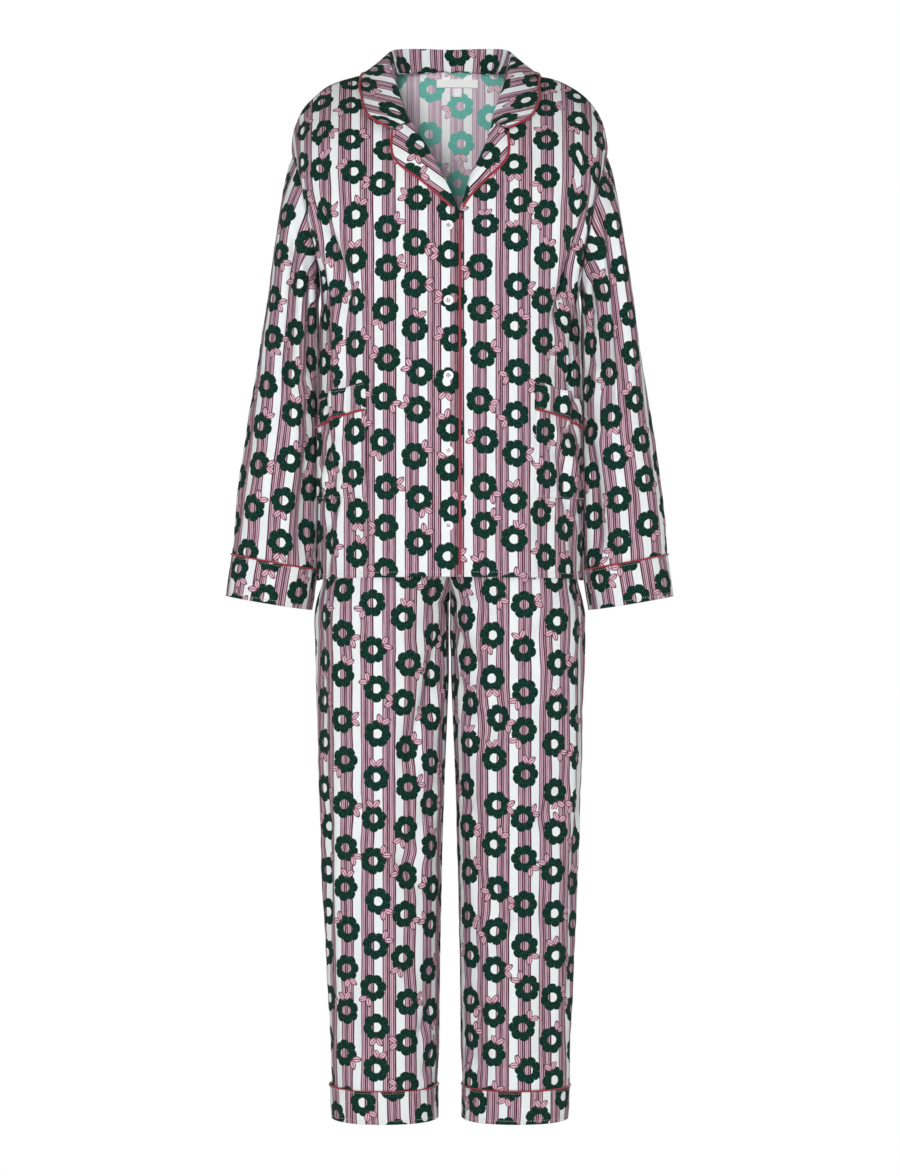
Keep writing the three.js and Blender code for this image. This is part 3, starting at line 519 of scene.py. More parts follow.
outerEdgeTable = {
    "at": (0, 0.29, 0.56, 0.58, 0.66, 0.76, 0.86, 0.94, 1),
    "x": (177, 174, 173.5, 174, 177, 185, 195, 204, 212),
    "depth": (0, 0, 0, 0, 36, 60, 58, 36, 0),
    "z": (-676, -480, -299, -286, -260, -212, -164, -126, -105),
}

# Folds: side, then across and height at both ends (millimetres from the front's or back's
# inner edge, and z), half width, how far out, and how far its middle bows sideways.
frontFolds = [
    (1, 200, -205, 146, -336, 13, -15, 5), (-1, 196, -180, 142, -310, 13, -14, -5),
    (1, 160, -330, 185, -660, 16, 6, 5), (-1, 172, -300, 178, -640, 15, 5, -4),
    (1, 204, -352, 176, -505, 14, -8, 5), (-1, 206, -340, 172, -520, 14, -8, 5),
    (1, 166, -480, 194, -665, 12, -7, -6), (-1, 170, -500, 192, -668, 12, -7, -6),
    (1, 95, -560, 88, -690, 18, 4, 3), (-1, 80, -540, 70, -690, 20, 4, -3),
    (1, 226, -235, 190, -390, 9, -5, 6), (-1, 222, -230, 184, -370, 10, -5, -6),
    (1, 120, -290, 108, -520, 22, 2.4, 8), (-1, 112, -250, 96, -470, 24, 2.4, -8),
    (1, 168, -150, 84, -235, 13, -4, 6), (-1, 160, -140, 76, -250, 14, -4, 6),
    (1, 62, -225, 34, -410, 14, -1.8, 4), (-1, 46, -330, 30, -600, 13, -1.6, 3),
    (1, 34, -420, 44, -650, 12, 1.5, -3), (1, 224, -300, 196, -352, 7, -3.2, 2),
    (-1, 226, -316, 200, -352, 8, -3, 2), (1, 146, -390, 206, -436, 9, -4.5, 3),
    (-1, 142, -395, 208, -430, 9, -4.5, -3), (1, 120, -600, 132, -690, 11, -2.2, 2),
    (-1, 124, -590, 120, -690, 12, -2.4, 2), (-1, 146, -490, 204, -552, 9, 4, 3),
    (1, 142, -470, 200, -540, 9, 4, -3), (1, 160, -556, 214, -604, 8, -4, 3),
    (-1, 156, -566, 212, -618, 8, -4, -3), (1, 230, -500, 222, -650, 8, 3, 2),
    (-1, 228, -470, 224, -640, 8, 3, -2),
]
backFolds = [
    (1, 190, -205, 120, -420, 16, -8, 6), (-1, 192, -195, 128, -440, 15, -7, -6),
    (1, 70, -380, 84, -690, 20, 6, 5), (-1, 58, -420, 62, -690, 22, 6, -5),
    (1, 140, -470, 150, -690, 17, -6, 4), (-1, 132, -500, 146, -690, 17, -6, 4),
    (1, 222, -250, 176, -400, 10, -4.5, 5), (-1, 220, -260, 170, -420, 10, -4.5, -5),
    (1, 30, -150, 18, -420, 20, -2, 6), (-1, 60, -140, 46, -330, 17, -2.2, 4),
    (1, 205, -430, 212, -660, 12, 4, 4), (-1, 204, -440, 208, -660, 12, 4, -4),
    (1, 110, -260, 100, -470, 15, 2.4, 5), (-1, 104, -290, 96, -520, 15, 2.4, -5),
    (-1, 20, -480, 26, -690, 14, -2.6, 3), (1, 24, -560, 30, -690, 12, -2.6, 3),
]


# A row of the body: x goes across evenly while y and z follow a rounded quarter.
def bodyRow(inner, outer, across):
    drop = 1 - (1 - np.clip(across, 0, 1) ** shirtBody["roundness"]) ** (1 / shirtBody["roundness"])
    parts = [mix(inner[0], outer[0], across), mix(inner[1], outer[1], drop), mix(inner[2], outer[2], drop)]
    return np.stack(parts, -1)


def acrossAt(u):
    return np.sin(u * np.pi / 2) ** (2 / shirtBody["roundness"])


def outerEdge(at, front):
    depth = np.maximum(column(outerEdgeTable, "depth", at), seamGap / 2)
    return column(outerEdgeTable, "x", at), -depth if front else depth, column(outerEdgeTable, "z", at)


def frontEdge(side, at):
    x = column(frontEdgeTable, "underX" if side > 0 else "lapX", at)
    return x, np.minimum(column(frontEdgeTable, "y", at), -seamGap / 2), column(frontEdgeTable, "z", at)


def plainFront(side, across, at):
    points = bodyRow(frontEdge(side, at), outerEdge(at, True), across)
    if side > 0:
        points[..., 1] += shirtBody["underlapDepth"] * (1 - smooth(15, 36, points[..., 0]))
    return points


def plainBack(u, at):
    x = np.where(at <= shirtBody["backNeckAt"], 0, np.maximum(column(backEdgeTable, "x", at), 0))
    inner = x, np.maximum(column(backEdgeTable, "y", at), seamGap / 2), column(backEdgeTable, "z", at)
    return bodyRow(inner, outerEdge(at, False), acrossAt(u))


# The dip along the outer seam and the turned hem, both along the cloth's normal.
def seamAndHem(u, at):
    fromSeam, fromHem = (1 - u) * shirtBody["rowLength"], at * 662
    dip = -shirtBody["seamDip"] * np.exp(-((fromSeam / shirtBody["seamReach"]) ** 2))
    return dip + shirtBody["hemRise"] * (1
        - smooth(shirtBody["hemDepth"] - 1, shirtBody["hemDepth"] + 1, fromHem))


def frontPoint(side, u, at):
    def surface(s, t):
        return plainFront(side, acrossAt(s), t)

    points = surface(u, at)
    fade = smooth(0.04, 0.16, u) * (1 - smooth(0.9, 1, u)) * (1 - smooth(0.8, 0.95, at))
    push = foldPush(frontFolds, side, u * shirtBody["rowLength"], points[..., 2]) * fade
    push += ripple(mirrored(points, side)) * (0.4 + 0.6 * smooth(0, 0.12, u)) + seamAndHem(u, at)
    fromSeam = (1 - u) * shirtBody["rowLength"]
    swell = np.exp(-(((fromSeam - shirtBody["swellPlace"]) / shirtBody["swellWidth"]) ** 2))
    push += shirtBody["swell"] * swell * (1 - smooth(0.5, 0.58, at))
    return points + normalsOf(surface, u, at) * push[..., None]


def backPoint(side, u, at):
    points = plainBack(u, at)
    fade = (1 - smooth(0.86, 1, u)) * (1 - smooth(0.78, 0.9, at))
    push = foldPush(backFolds, side, u * shirtBody["rowLength"], points[..., 2])
    points[..., 1] += push * fade * (1 - u**4)
    push = ripple(mirrored(points, side)) + seamAndHem(u, at)
    normals = normalsOf(plainBack, u, at, -1)
    normals[..., 0] *= np.where(u <= 0, 0, 1)
    return points + normals * push[..., None]


def frontNormals(side, u, at):
    return normalsOf(lambda s, t: frontPoint(side, s, t), u, at)


def onFront(side, u, at, lift):
    return frontPoint(side, u, at) + frontNormals(side, u, at) * np.asarray(lift)[..., None]


# The share u and height at which the front shows a place (x, z) seen from the front, found
# by halving the height again and again.
def frontPlace(side, x, z):
    low, high = np.zeros_like(x), np.ones_like(x)
    for _ in range(30):
        middle = (low + high) / 2
        inX, outX = frontEdge(side, middle)[0], outerEdge(middle, True)[0]
        across = np.clip((x - inX) / (outX - inX), 0, 1)
        below = plainFront(side, across, middle)[..., 2] < z
        low, high = np.where(below, middle, low), np.where(below, high, middle)
    return 2 / np.pi * np.arcsin(across ** (shirtBody["roundness"] / 2)), low


def heightShare(z):
    span = shirtBody["underarmZ"] - shirtBody["hemZ"]
    return shirtBody["underarmAt"] * (z - shirtBody["hemZ"]) / span


# Cloth coordinates of a body panel: across from the row's inner edge, up from the hem.
def bodyCoordinates(points, startX):
    x = points[..., 0]
    across = x + evenRows(runLength(points, 1) + startX[:, None] - x, points)
    return np.stack([across, runLength(points, 0)], -1)


# Closer columns near the seams, where the cloth dips.
def seamSteps(count):
    t = np.linspace(0, 1, count)
    return t + 0.055 * np.sin(2 * np.pi * t)


bodyU, bodyAt = np.meshgrid(seamSteps(shirtBody["columns"]), np.linspace(0, 1, shirtBody["rows"]))
for side, sideName in sideNames.items():
    points = frontPoint(side, bodyU, bodyAt)
    startX = frontEdge(side, bodyAt[:, 0])[0]
    coordinates = bodyCoordinates(points, startX) * (side, 1)
    grids = [(mirrored(points, side), coordinates, side < 0)]
    addCloth(f"shirt_front_{sideName}", grids, shirtBody["thickness"])

backGrids = []
for side in sideNames:
    points = backPoint(side, bodyU, bodyAt)
    startX = np.maximum(plainBack(np.zeros(shirtBody["rows"]), bodyAt[:, 0])[..., 0], 0)
    coordinates = bodyCoordinates(points, startX) * (side, 1) + (900, 0)
    backGrids.append((mirrored(points, side), coordinates, side > 0))
addCloth("shirt_back", backGrids, shirtBody["thickness"])
print("shirt body made")

# Sleeves: at runs from armhole (0) to cuff (1), turn from the outer line over the front.
sleeve = {
    "round": 320, "length": 560, "headShare": 0.14, "armholeFacing": (0.98, 0, -0.2),
    "thickness": 0.9, "around": 99, "rows": 168,
    "innerBulge": 6, "bulgeTurn": 0.535, "bulgeWidth": 0.035,
}
sleeveTable = {
    "at": (0, 0.06, 0.16, 0.31, 0.46, 0.61, 0.76, 0.88, 1),
    "outX": (212, 221, 231, 243, 255, 267, 279.5, 287.5, 293.2),
    "outZ": (-105, -136, -189, -270, -351, -432, -513, -578, -640),
    "inX": (175, 177, 178.5, 179.5, 180, 180.5, 181.5, 182.5, 183.5),
    "inZ": (-285, -298, -322, -370, -425, -487, -552, -608, -660),
    "depth": (60, 61, 61, 59, 56, 53, 50, 48, 46),
}
sleeveCuffTable = {
    "at": (0, 1), "outX": (293.3, 302.5), "outZ": (-640.4, -696.5),
    "inX": (183.6, 192), "inZ": (-660.4, -715), "depth": (46, 47),
}
# Folds: side, across (millimetres round from the outer line) and down at both ends, half
# width, how far out, bow.
sleeveFolds = [
    (1, 60, 30, 80, 340, 11, -14, 5), (-1, 64, 24, 84, 300, 11, -14, -5),
    (1, 128, 210, 70, 330, 12, -7, 4), (-1, 120, 230, 60, 350, 12, -6.5, 4),
    (1, 110, 330, 96, 540, 11, 5, 4), (-1, 104, 300, 92, 520, 11, 5, -4),
    (1, 132, 350, 122, 556, 12, -6, 4), (-1, 128, 360, 120, 556, 12, -6, -4),
    (1, 270, 60, 235, 380, 13, -7, 5), (-1, 262, 80, 240, 350, 13, -7, -5),
    (1, 136, 240, 96, 292, 7, -3.4, 3), (-1, 138, 232, 92, 288, 7, -3.4, 3),
    (1, 144, 300, 98, 352, 8, -3, -3), (-1, 142, 300, 94, 344, 8, -3, 3),
    (1, 56, 440, 68, 556, 10, -3, 3), (-1, 62, 430, 54, 556, 10, -3, -3),
    (1, 118, 50, 132, 220, 10, -9, 5), (-1, 114, 44, 130, 230, 10, -9, -5),
    (1, 30, 60, 36, 300, 13, 3.4, 5), (-1, 28, 70, 34, 320, 13, 3.4, -5),
    (1, 88, 400, 52, 500, 9, 2.6, -3), (-1, 84, 390, 50, 480, 9, 2.6, 3),
    (1, 20, 330, 30, 520, 12, -2.4, 3), (-1, 24, 360, 26, 540, 12, -2.4, -3),
    (1, 215, 200, 260, 330, 10, -4, 4), (-1, 212, 230, 256, 340, 10, -4, -4),
    (1, 200, 380, 226, 540, 12, 3, 3), (-1, 206, 360, 222, 540, 12, 3, -3),
    (1, 300, 300, 290, 500, 12, -3, 3), (-1, 296, 280, 288, 480, 12, -3, -3),
]


def station(table, at):
    return {name: column(table, name, at) for name in table if name != "at"}


# A ring round an outer and an inner edge point, as deep as the table says.
def ringPoint(ring, turn):
    angle = turn * 2 * np.pi
    reach = (1 + np.cos(angle)) / 2
    x, z = mix(ring["inX"], ring["outX"], reach), mix(ring["inZ"], ring["outZ"], reach)
    return np.stack([x, -ring["depth"] * np.sin(angle), z], -1)


def ringCentre(ring):
    x, z = (ring["outX"] + ring["inX"]) / 2, (ring["outZ"] + ring["inZ"]) / 2
    return np.stack(np.broadcast_arrays(x, 0.0, z), -1)


def armholePoint(turn):
    turn = turn % 1
    front = turn <= 0.5
    share = np.where(front, turn * 2, 2 - turn * 2)
    x, depth, z = outerEdge(mix(1, shirtBody["underarmAt"], share), False)
    depth = np.where(share * (1 - share) <= 0, 0, depth)
    onArmhole = np.stack([x, np.where(front, -depth, depth), z], -1)
    return onArmhole + np.array(sleeve["armholeFacing"]) * seamGap


# The inner line of sleeve and cuff swells in behind the body's side, and is 0 elsewhere.
def innerBulge(turn):
    return sleeve["innerBulge"] * np.exp(-(((turn % 1 - sleeve["bulgeTurn"]) / sleeve["bulgeWidth"]) ** 2))


def sleevePoint(side, turn, at):
    ring = station(sleeveTable, at)
    points = ringPoint(ring, turn)
    head = 1 - smooth(0, sleeve["headShare"], at)
    points += (armholePoint(turn) - ringPoint(station(sleeveTable, 0.0), turn)) * head[..., None]
    fade = smooth(0.02, 0.12, at) * (1 - smooth(0.92, 1, at))
    push = foldPush(sleeveFolds, side, turn % 1 * sleeve["round"], at * sleeve["length"]) * fade
    push += innerBulge(turn) * smooth(0.05, 0.16, at)
    awayFromBulge = 1 - 0.8 * innerBulge(turn) / sleeve["innerBulge"]
    push += ripple(mirrored(points, side)) * smooth(0, 0.03, at) * awayFromBulge
    push -= shirtBody["seamDip"] * np.exp(-((at * sleeve["length"] / shirtBody["seamReach"]) ** 2))
    out = points - ringCentre(ring)
    return points + out / np.linalg.norm(out, axis=-1, keepdims=True) * push[..., None]


def clothRound(points):
    around = runLength(points, 1)
    around -= around[:, -1:] / 2
    return np.stack([around, -runLength(points, 0)], -1)


# Cloth coordinates of a sleeve: round it square to its length, and along its length.
def sleeveCoordinates(points):
    axis = np.array((sleeveTable["outX"][-1] - sleeveTable["outX"][0], 0,
        sleeveTable["outZ"][-1] - sleeveTable["outZ"][0]))
    axis = axis / np.linalg.norm(axis)
    down = points @ axis
    around = runLength(points - down[..., None] * axis, 1)
    middle = around[:, around.shape[1] // 2 : around.shape[1] // 2 + 1]
    return np.stack([evenRows(around - middle, points), -down], -1)


# Rings start and end at the underarm or inseam, where the cloth's own seam is.
turns, sleeveAt = np.meshgrid(np.linspace(0.5, 1.5, sleeve["around"]), np.linspace(0, 1, sleeve["rows"]))
cuffTurns, cuffAt = np.meshgrid(np.linspace(0.5, 1.5, sleeve["around"]), np.linspace(0, 1, 24))


def ringCuff(points, turn, centre, side):
    out = points - centre
    out /= np.linalg.norm(out, axis=-1, keepdims=True)
    return points + out * (0.5 + innerBulge(turn) + 0.7 * ripple(mirrored(points, side)))[..., None]


for side, sideName in sideNames.items():
    points = sleevePoint(side, turns, sleeveAt)
    grids = [(mirrored(points, side), sleeveCoordinates(points) * (side, 1) + (side * 300, 0), side < 0)]
    addCloth(f"sleeve_{sideName}", grids, sleeve["thickness"])
    ring = station(sleeveCuffTable, cuffAt)
    points = ringCuff(ringPoint(ring, cuffTurns), cuffTurns, ringCentre(ring), side)
    grids = [(mirrored(points, side), sleeveCoordinates(points) * (side, 1) + (side * 311, 24), side < 0)]
    addCloth(f"sleeve_cuff_{sideName}", grids, 1.4)
print("sleeves made")

# Trousers: each panel runs from inseam or centre seam (0) to side seam (1), at heights z.
trousers = {
    "roundness": 2.1, "rowLength": 235, "legSeamZ": -1357, "legHemZ": -1402,
    "waistSeamZ": -466, "waistTopZ": -430, "grainX": 91, "thickness": 0.9, "columns": 66, "rows": 232,
}
trouserTable = {
    "at": (-1402, -1262, -1127, -992, -857, -756, -718, -702, -675, -640, -560, -466),
    "centre": (88, 90, 91.8, 92.9, 92.2, 91.8, 91.2, 89.6, 76, 52, 14, 0),
    "half": (72, 74, 77.8, 82.1, 86.8, 90.5, 91, 89.5, 96, 116, 150, 140),
    "front": (66, 67, 70, 75, 82, 92, 96, 98, 101, 103, 105, 102),
    "back": (72, 73, 76, 82, 90, 102, 106, 105, 103, 101, 100, 102),
}
legFolds = [
    (1, 150, -720, 66, -900, 13, -8, 5), (-1, 40, -735, 92, -930, 13, -8, -5),
    (1, 118, -820, 108, -1280, 15, 5, 6), (-1, 122, -800, 110, -1260, 15, 5, -6),
    (1, 208, -690, 204, -1100, 12, -7, 6), (-1, 206, -690, 202, -1140, 12, -7, -6),
    (1, 50, -1060, 130, -1180, 12, -5, 4), (-1, 56, -1090, 136, -1010, 12, -5, 4),
    (1, 22, -732, 74, -800, 9, -4, 4), (-1, 150, -716, 84, -800, 10, -4, 4),
    (1, 26, -800, 66, -880, 9, -3.4, 3), (-1, 24, -800, 64, -862, 9, -3.4, 3),
    (1, 40, -640, 92, -760, 14, -4, 4), (-1, 36, -650, 84, -770, 14, -4, -4),
    (1, 186, -930, 124, -1016, 11, -3.6, 4), (-1, 182, -950, 122, -1008, 11, -3.6, -4),
    (1, 30, -950, 82, -1046, 10, -3.4, 3), (-1, 34, -940, 86, -1060, 10, -3.4, 3),
    (1, 72, -1180, 92, -1350, 12, 3, 3), (-1, 76, -1200, 88, -1350, 12, 3, -3),
    (1, 160, -1140, 150, -1345, 12, -3.4, 3), (-1, 158, -1120, 152, -1340, 12, -3.4, 3),
    (1, 26, -1210, 66, -1262, 8, -3.6, 2), (-1, 28, -1240, 70, -1292, 8, -3.6, 2),
    (1, 24, -1290, 58, -1334, 8, -3, 2), (-1, 26, -1310, 60, -1344, 8, -3, 2),
    (1, 204, -780, 196, -1000, 12, 3, 5), (-1, 206, -760, 198, -980, 12, 3, -5),
    (1, 206, -1060, 196, -1300, 11, -3, 4), (-1, 204, -1040, 198, -1280, 11, -3, -4),
]


# At the top of the inner thighs one leg swells over the other, which gives way.
innerThigh = {
    "swell": 2.4, "place": 13, "width": 9, "lowZ": -800, "fullZ": -745, "topZ": -704,
    "room": 0.4, "fill": 2.8, "reach": 22,
}


def thighShare(z):
    belowTop = 1 - smooth(innerThigh["topZ"], innerThigh["topZ"] + 12, z)
    return smooth(innerThigh["lowZ"], innerThigh["fullZ"], z) * belowTop


def legPoint(side, u, z, front):
    centre, half = column(trouserTable, "centre", z), column(trouserTable, "half", z)
    start = np.maximum((seamGap / 2 - centre) / half, -1)
    startAngle = np.sign(start) * np.arcsin(np.abs(start) ** (trousers["roundness"] / 2))
    angle = mix(startAngle, np.pi / 2, u)
    reach = np.sign(np.sin(angle)) * np.abs(np.sin(angle)) ** (2 / trousers["roundness"])
    depth = np.maximum(np.cos(angle), 0) ** (2 / trousers["roundness"])
    facing = -1 if front else 1
    y = facing * np.maximum(column(trouserTable, "front" if front else "back", z) * depth, seamGap / 2)
    x = np.where((u <= 0) & (start > -1), seamGap / 2, centre + half * reach)
    points = np.stack([x, y, z + 0 * u], -1)
    fade = smooth(0, 0.12, u) * (1 - smooth(0.92, 1, u))
    fade = fade * smooth(trousers["legSeamZ"], trousers["legSeamZ"] + 30, z)
    push = foldPush(legFolds, side, u * trousers["rowLength"], z) * fade
    fromSide, fromInner = (1 - u) * trousers["rowLength"], u * trousers["rowLength"]
    onSideSeam = np.exp(-((fromSide / shirtBody["seamReach"]) ** 2))
    onInnerSeam = np.exp(-((fromInner / shirtBody["seamReach"]) ** 2))
    dip = shirtBody["seamDip"] * (onSideSeam + onInnerSeam) * (side != 0)
    push += ripple(mirrored(points, side or 1)) * smooth(0, 0.03, u) - dip
    fill = np.clip(centre - half - innerThigh["room"], 0, innerThigh["fill"])
    fill = fill * np.exp(-((fromInner / innerThigh["reach"]) ** 2))
    push += fill * smooth(trousers["legSeamZ"], trousers["legSeamZ"] + 60, z)
    swell = np.exp(-(((fromInner - innerThigh["place"]) / innerThigh["width"]) ** 2))
    push += side * innerThigh["swell"] * swell * thighShare(z)
    turned = np.where((u <= 0) & (start > -1), 0, 1)
    out = np.stack([reach * turned, facing * depth, 0 * depth], -1)
    return points + out * push[..., None]


# Cloth coordinates of a trouser panel: across from the grain line, up from the leg seam.
def legCoordinates(points):
    steps = np.linalg.norm(np.diff(points, axis=1), axis=-1)
    x0, x1 = points[:, :-1, 0], points[:, 1:, 0]
    passed = np.clip((trousers["grainX"] - x0) / np.maximum(x1 - x0, 1e-6), 0, 1)
    toGrain = (steps * passed).sum(axis=1, keepdims=True)
    return np.stack([runLength(points, 1) - toGrain, points[..., 2] - trousers["legSeamZ"]], -1)


legU, legZ = np.meshgrid(seamSteps(trousers["columns"]),
                         np.linspace(trousers["legSeamZ"] + seamGap, trousers["waistSeamZ"],
                             trousers["rows"]))
for side, sideName in sideNames.items():
    for front in (True, False):
        points = legPoint(side, legU, legZ, front)
        coordinates = legCoordinates(points) * (side, 1) + (side * 121 + (0 if front else 700), 0)
        name = f"trouser_{'front' if front else 'back'}_{sideName}"
        grids = [(mirrored(points, side), coordinates, (side < 0) == front)]
        addCloth(name, grids, trousers["thickness"])


def legRing(turn, z):
    turn = turn % 1
    front = turn <= 0.5
    quarter = np.where(front, turn * 2, 2 - turn * 2)
    points = np.where(front[..., None], legPoint(0, 1 - quarter, z, True),
        legPoint(0, 1 - quarter, z, False))
    points[..., 1] = np.where(quarter * (1 - quarter) <= 0, 0, points[..., 1])
    return points


legCuffZ = mix(trousers["legSeamZ"], trousers["legHemZ"], cuffAt)
for side, sideName in sideNames.items():
    points = legRing(cuffTurns, legCuffZ)
    centre = np.stack([column(trouserTable, "centre", legCuffZ), 0 * legCuffZ, legCuffZ], -1)
    points = points + (points - centre) / 70 * 0.5
    grids = [(mirrored(points, side), clothRound(points) * (side, 1) + (side * 130, 24), side < 0)]
    addCloth(f"leg_cuff_{sideName}", grids, 1.4)

# The waistband: a casing gathered on elastic, in small upright puckers.
waistband = {"half": 140, "depth": 102, "puckers": 84, "pucker": 1.3, "thickness": 2.2}
bandTurns, bandShare = np.meshgrid(np.linspace(0.5, 1.5, 420), np.linspace(0, 1, 16))
bandAngle = bandTurns * 2 * np.pi
bandZ = mix(trousers["waistSeamZ"] + seamGap, trousers["waistTopZ"], bandShare)
sway = np.sin(bandAngle * 3 + 1) * 1.4 + np.sin(bandAngle * 7) * 0.8
pucker = waistband["pucker"] * np.sin(bandAngle * waistband["puckers"] + sway)
pucker = pucker * np.sin(np.pi * np.clip(bandShare, 0.08, 0.92))
points = np.stack([(waistband["half"] + pucker) * np.cos(bandAngle),
    -(waistband["depth"] + pucker) * np.sin(bandAngle), bandZ], -1)
grids = [(points, clothRound(points), True)]
addCloth("waistband", grids, waistband["thickness"],
         lining=plainCotton)
print("trousers made")

# The collar: stations from centre back (0) to its front end (1); each section goes up from
# the neck seam, over the fold and down to the edge.
collar = {
    "shoulderAt": 0.5, "seamLift": 1, "foldRoom": 3, "standShare": 0.8, "standLean": 0.5,
    "leafShare": 0.16, "thickness": 1.7, "shares": 44, "stations": 120,
}
collarTable = {
    "at": (0, 0.2, 0.38, 0.5, 0.65, 0.8, 0.91, 1),
    "foldX": (0, 48, 76, 82, 79, 70, 60, 54),
    "foldY": (60, 51, 27, 0, -29, -58, -82, -94),
    "foldZ": (47, 47, 42, 31, 11, -21, -50, -69),
    "edgeX": (0, 61, 97, 115, 118, 116, 103, 77),
    "edgeY": (79, 78, 57, 9, -26, -60, -84, -96),
    "edgeZ": (1, 3, 12, 10, -6, -36, -61, -77),
}


# A smooth curve through points: at each inner point the slope weighs both neighbours by
# their distance, and share runs evenly over the stretches.
def curveThrough(knots, share):
    gaps = [np.sqrt(np.linalg.norm(b - a, axis=-1, keepdims=True)) for a, b in zip(knots, knots[1:])]
    chords = [(b - a) / gap for a, b, gap in zip(knots, knots[1:], gaps)]
    slopes = [chords[0]]
    for i in range(1, len(knots) - 1):
        across = (knots[i + 1] - knots[i - 1]) / (gaps[i - 1] + gaps[i])
        slopes.append(chords[i - 1] - across + chords[i])
    slopes.append(chords[-1])
    count = len(gaps)
    result = 0
    for i in range(count):
        inside = (share * count >= i) & ((share * count < i + 1) | (i == count - 1))
        t = np.where(inside, share * count - i, 0)[..., None]
        rise = t * t * (3 - 2 * t)
        bend = t * (1 - t) ** 2 * slopes[i] - t * t * (1 - t) * slopes[i + 1]
        result = result + np.where(inside[..., None], mix(knots[i], knots[i + 1], rise) + bend * gaps[i], 0)
    return result


def neckEdge(side, at):
    shoulder = collar["shoulderAt"]
    behind = plainBack(0 * at, mix(shirtBody["backNeckAt"], 1, np.clip(at / shoulder, 0, 1)))
    towardGorge = np.clip((at - shoulder) / (1 - shoulder), 0, 1)
    ahead = plainFront(side, 0 * at, mix(1, shirtBody["gorgeAt"], towardGorge))
    return np.where((at <= shoulder)[..., None], behind, ahead)


def collarPoint(side, share, at):
    seam = neckEdge(side, at) + (0, 0, collar["seamLift"])
    fold = np.stack([column(collarTable, name, at) for name in ("foldX", "foldY", "foldZ")], -1)
    edge = np.stack([column(collarTable, name, at) for name in ("edgeX", "edgeY", "edgeZ")], -1)
    inner = (at > 0)[..., None]
    fold, edge = np.where(inner, fold, fold * (0, 1, 1)), np.where(inner, edge, edge * (0, 1, 1))
    out = (edge - fold) * (1, 1, 0)
    out /= np.linalg.norm(out, axis=-1, keepdims=True)
    standTop = mix(seam, fold, collar["standShare"]) - out * collar["standLean"]
    leafTop = mix(fold, edge, collar["leafShare"]) + out * collar["foldRoom"]
    points = curveThrough([seam, standTop, fold, leafTop, edge], share)
    wave = np.sin(at * 23 + side) * 0.9 + np.sin(at * 41 + 2 * side) * 0.5
    onLeaf = smooth(0.55, 0.9, share) * smooth(0, 0.1, at)
    return points + out * (wave * onLeaf)[..., None]


collarAt, collarShare = np.meshgrid(np.linspace(0, 1, collar["stations"]),
    np.linspace(0, 1, collar["shares"]))
collarGrids = []
for side in sideNames:
    points = collarPoint(side, collarShare, collarAt)
    coordinates = np.stack([runLength(points, 1) * side + 508, runLength(points, 0)], -1)
    collarGrids.append((mirrored(points, side), coordinates, side < 0))
addCloth("collar", collarGrids, collar["thickness"],
         lining=printedCotton)

# Lapels: the front turned back along its roll line, which lies between the top button and
# the collar.
lapel = {
    "rollFrom": 0.73, "rollTo": 0.916, "clearance": 3.2, "belly": 3, "underShift": 21,
    "from": 0.04, "thickness": 1.6, "shares": 40, "rows": 90,
}
lapelTable = {
    "at": (0, 0.35, 0.62, 0.76, 1), "x": (-8.5, 29, 65, 74.5, 75), "z": (-188, -154, -126, -111, -82),
}


def lapelPlace(side, share, at):
    rollX, _, rollZ = frontEdge(side, mix(lapel["rollFrom"], lapel["rollTo"], at))
    shift = lapel["underShift"] * (1 - at) ** 2 if side > 0 else 0
    x = mix(rollX, column(lapelTable, "x", at) + shift, share)
    return x, mix(rollZ, column(lapelTable, "z", at), share)


def lapelPoint(side, share, at):
    u, height = frontPlace(side, *lapelPlace(side, share, at))
    belly = lapel["belly"] * np.sin(share * np.pi) * smooth(0, 0.4, at)
    wave = 0.7 * np.sin(at * 9 + side) * smooth(0.3, 1, share)
    return onFront(side, u, height, lapel["clearance"] + belly + wave)


lapelShare, lapelAt = np.meshgrid(np.linspace(0, 1, lapel["shares"]),
    np.linspace(lapel["from"], 1, lapel["rows"]))
for side, sideName in sideNames.items():
    points = lapelPoint(side, lapelShare, lapelAt)
    x, z = lapelPlace(side, lapelShare, lapelAt)
    footX, _, footZ = frontEdge(side, np.array(lapel["rollFrom"]))
    topX, _, topZ = frontEdge(side, np.array(lapel["rollTo"]))
    roll = np.array([topX - footX, topZ - footZ]) / np.hypot(topX - footX, topZ - footZ)
    fromFoot = np.stack([x - footX, z - footZ], -1)
    turnedBack = 2 * (fromFoot @ roll)[..., None] * roll - fromFoot
    coordinates = (turnedBack + (footX, footZ + 669)) * (side, 1) + (side * 450, 0)
    grids = [(mirrored(points, side), coordinates, side < 0)]
    addCloth(f"lapel_{sideName}", grids, lapel["thickness"])

# Patch pockets, deeper at their outer side, with a band above the piping.
pocket = {
    "innerU": 5 / 12, "outerU": 11 / 12, "bottomZ": -564, "pipingZ": -448, "topZ": -412, "drop": 22,
    "lift": 2.6, "gape": 2.2, "thickness": 1.2, "columns": 60, "rows": 64,
}


def pocketLevel(z, u):
    inner, outer = pocket["innerU"], pocket["outerU"]
    return heightShare(z - pocket["drop"] * (u - inner) / (outer - inner))


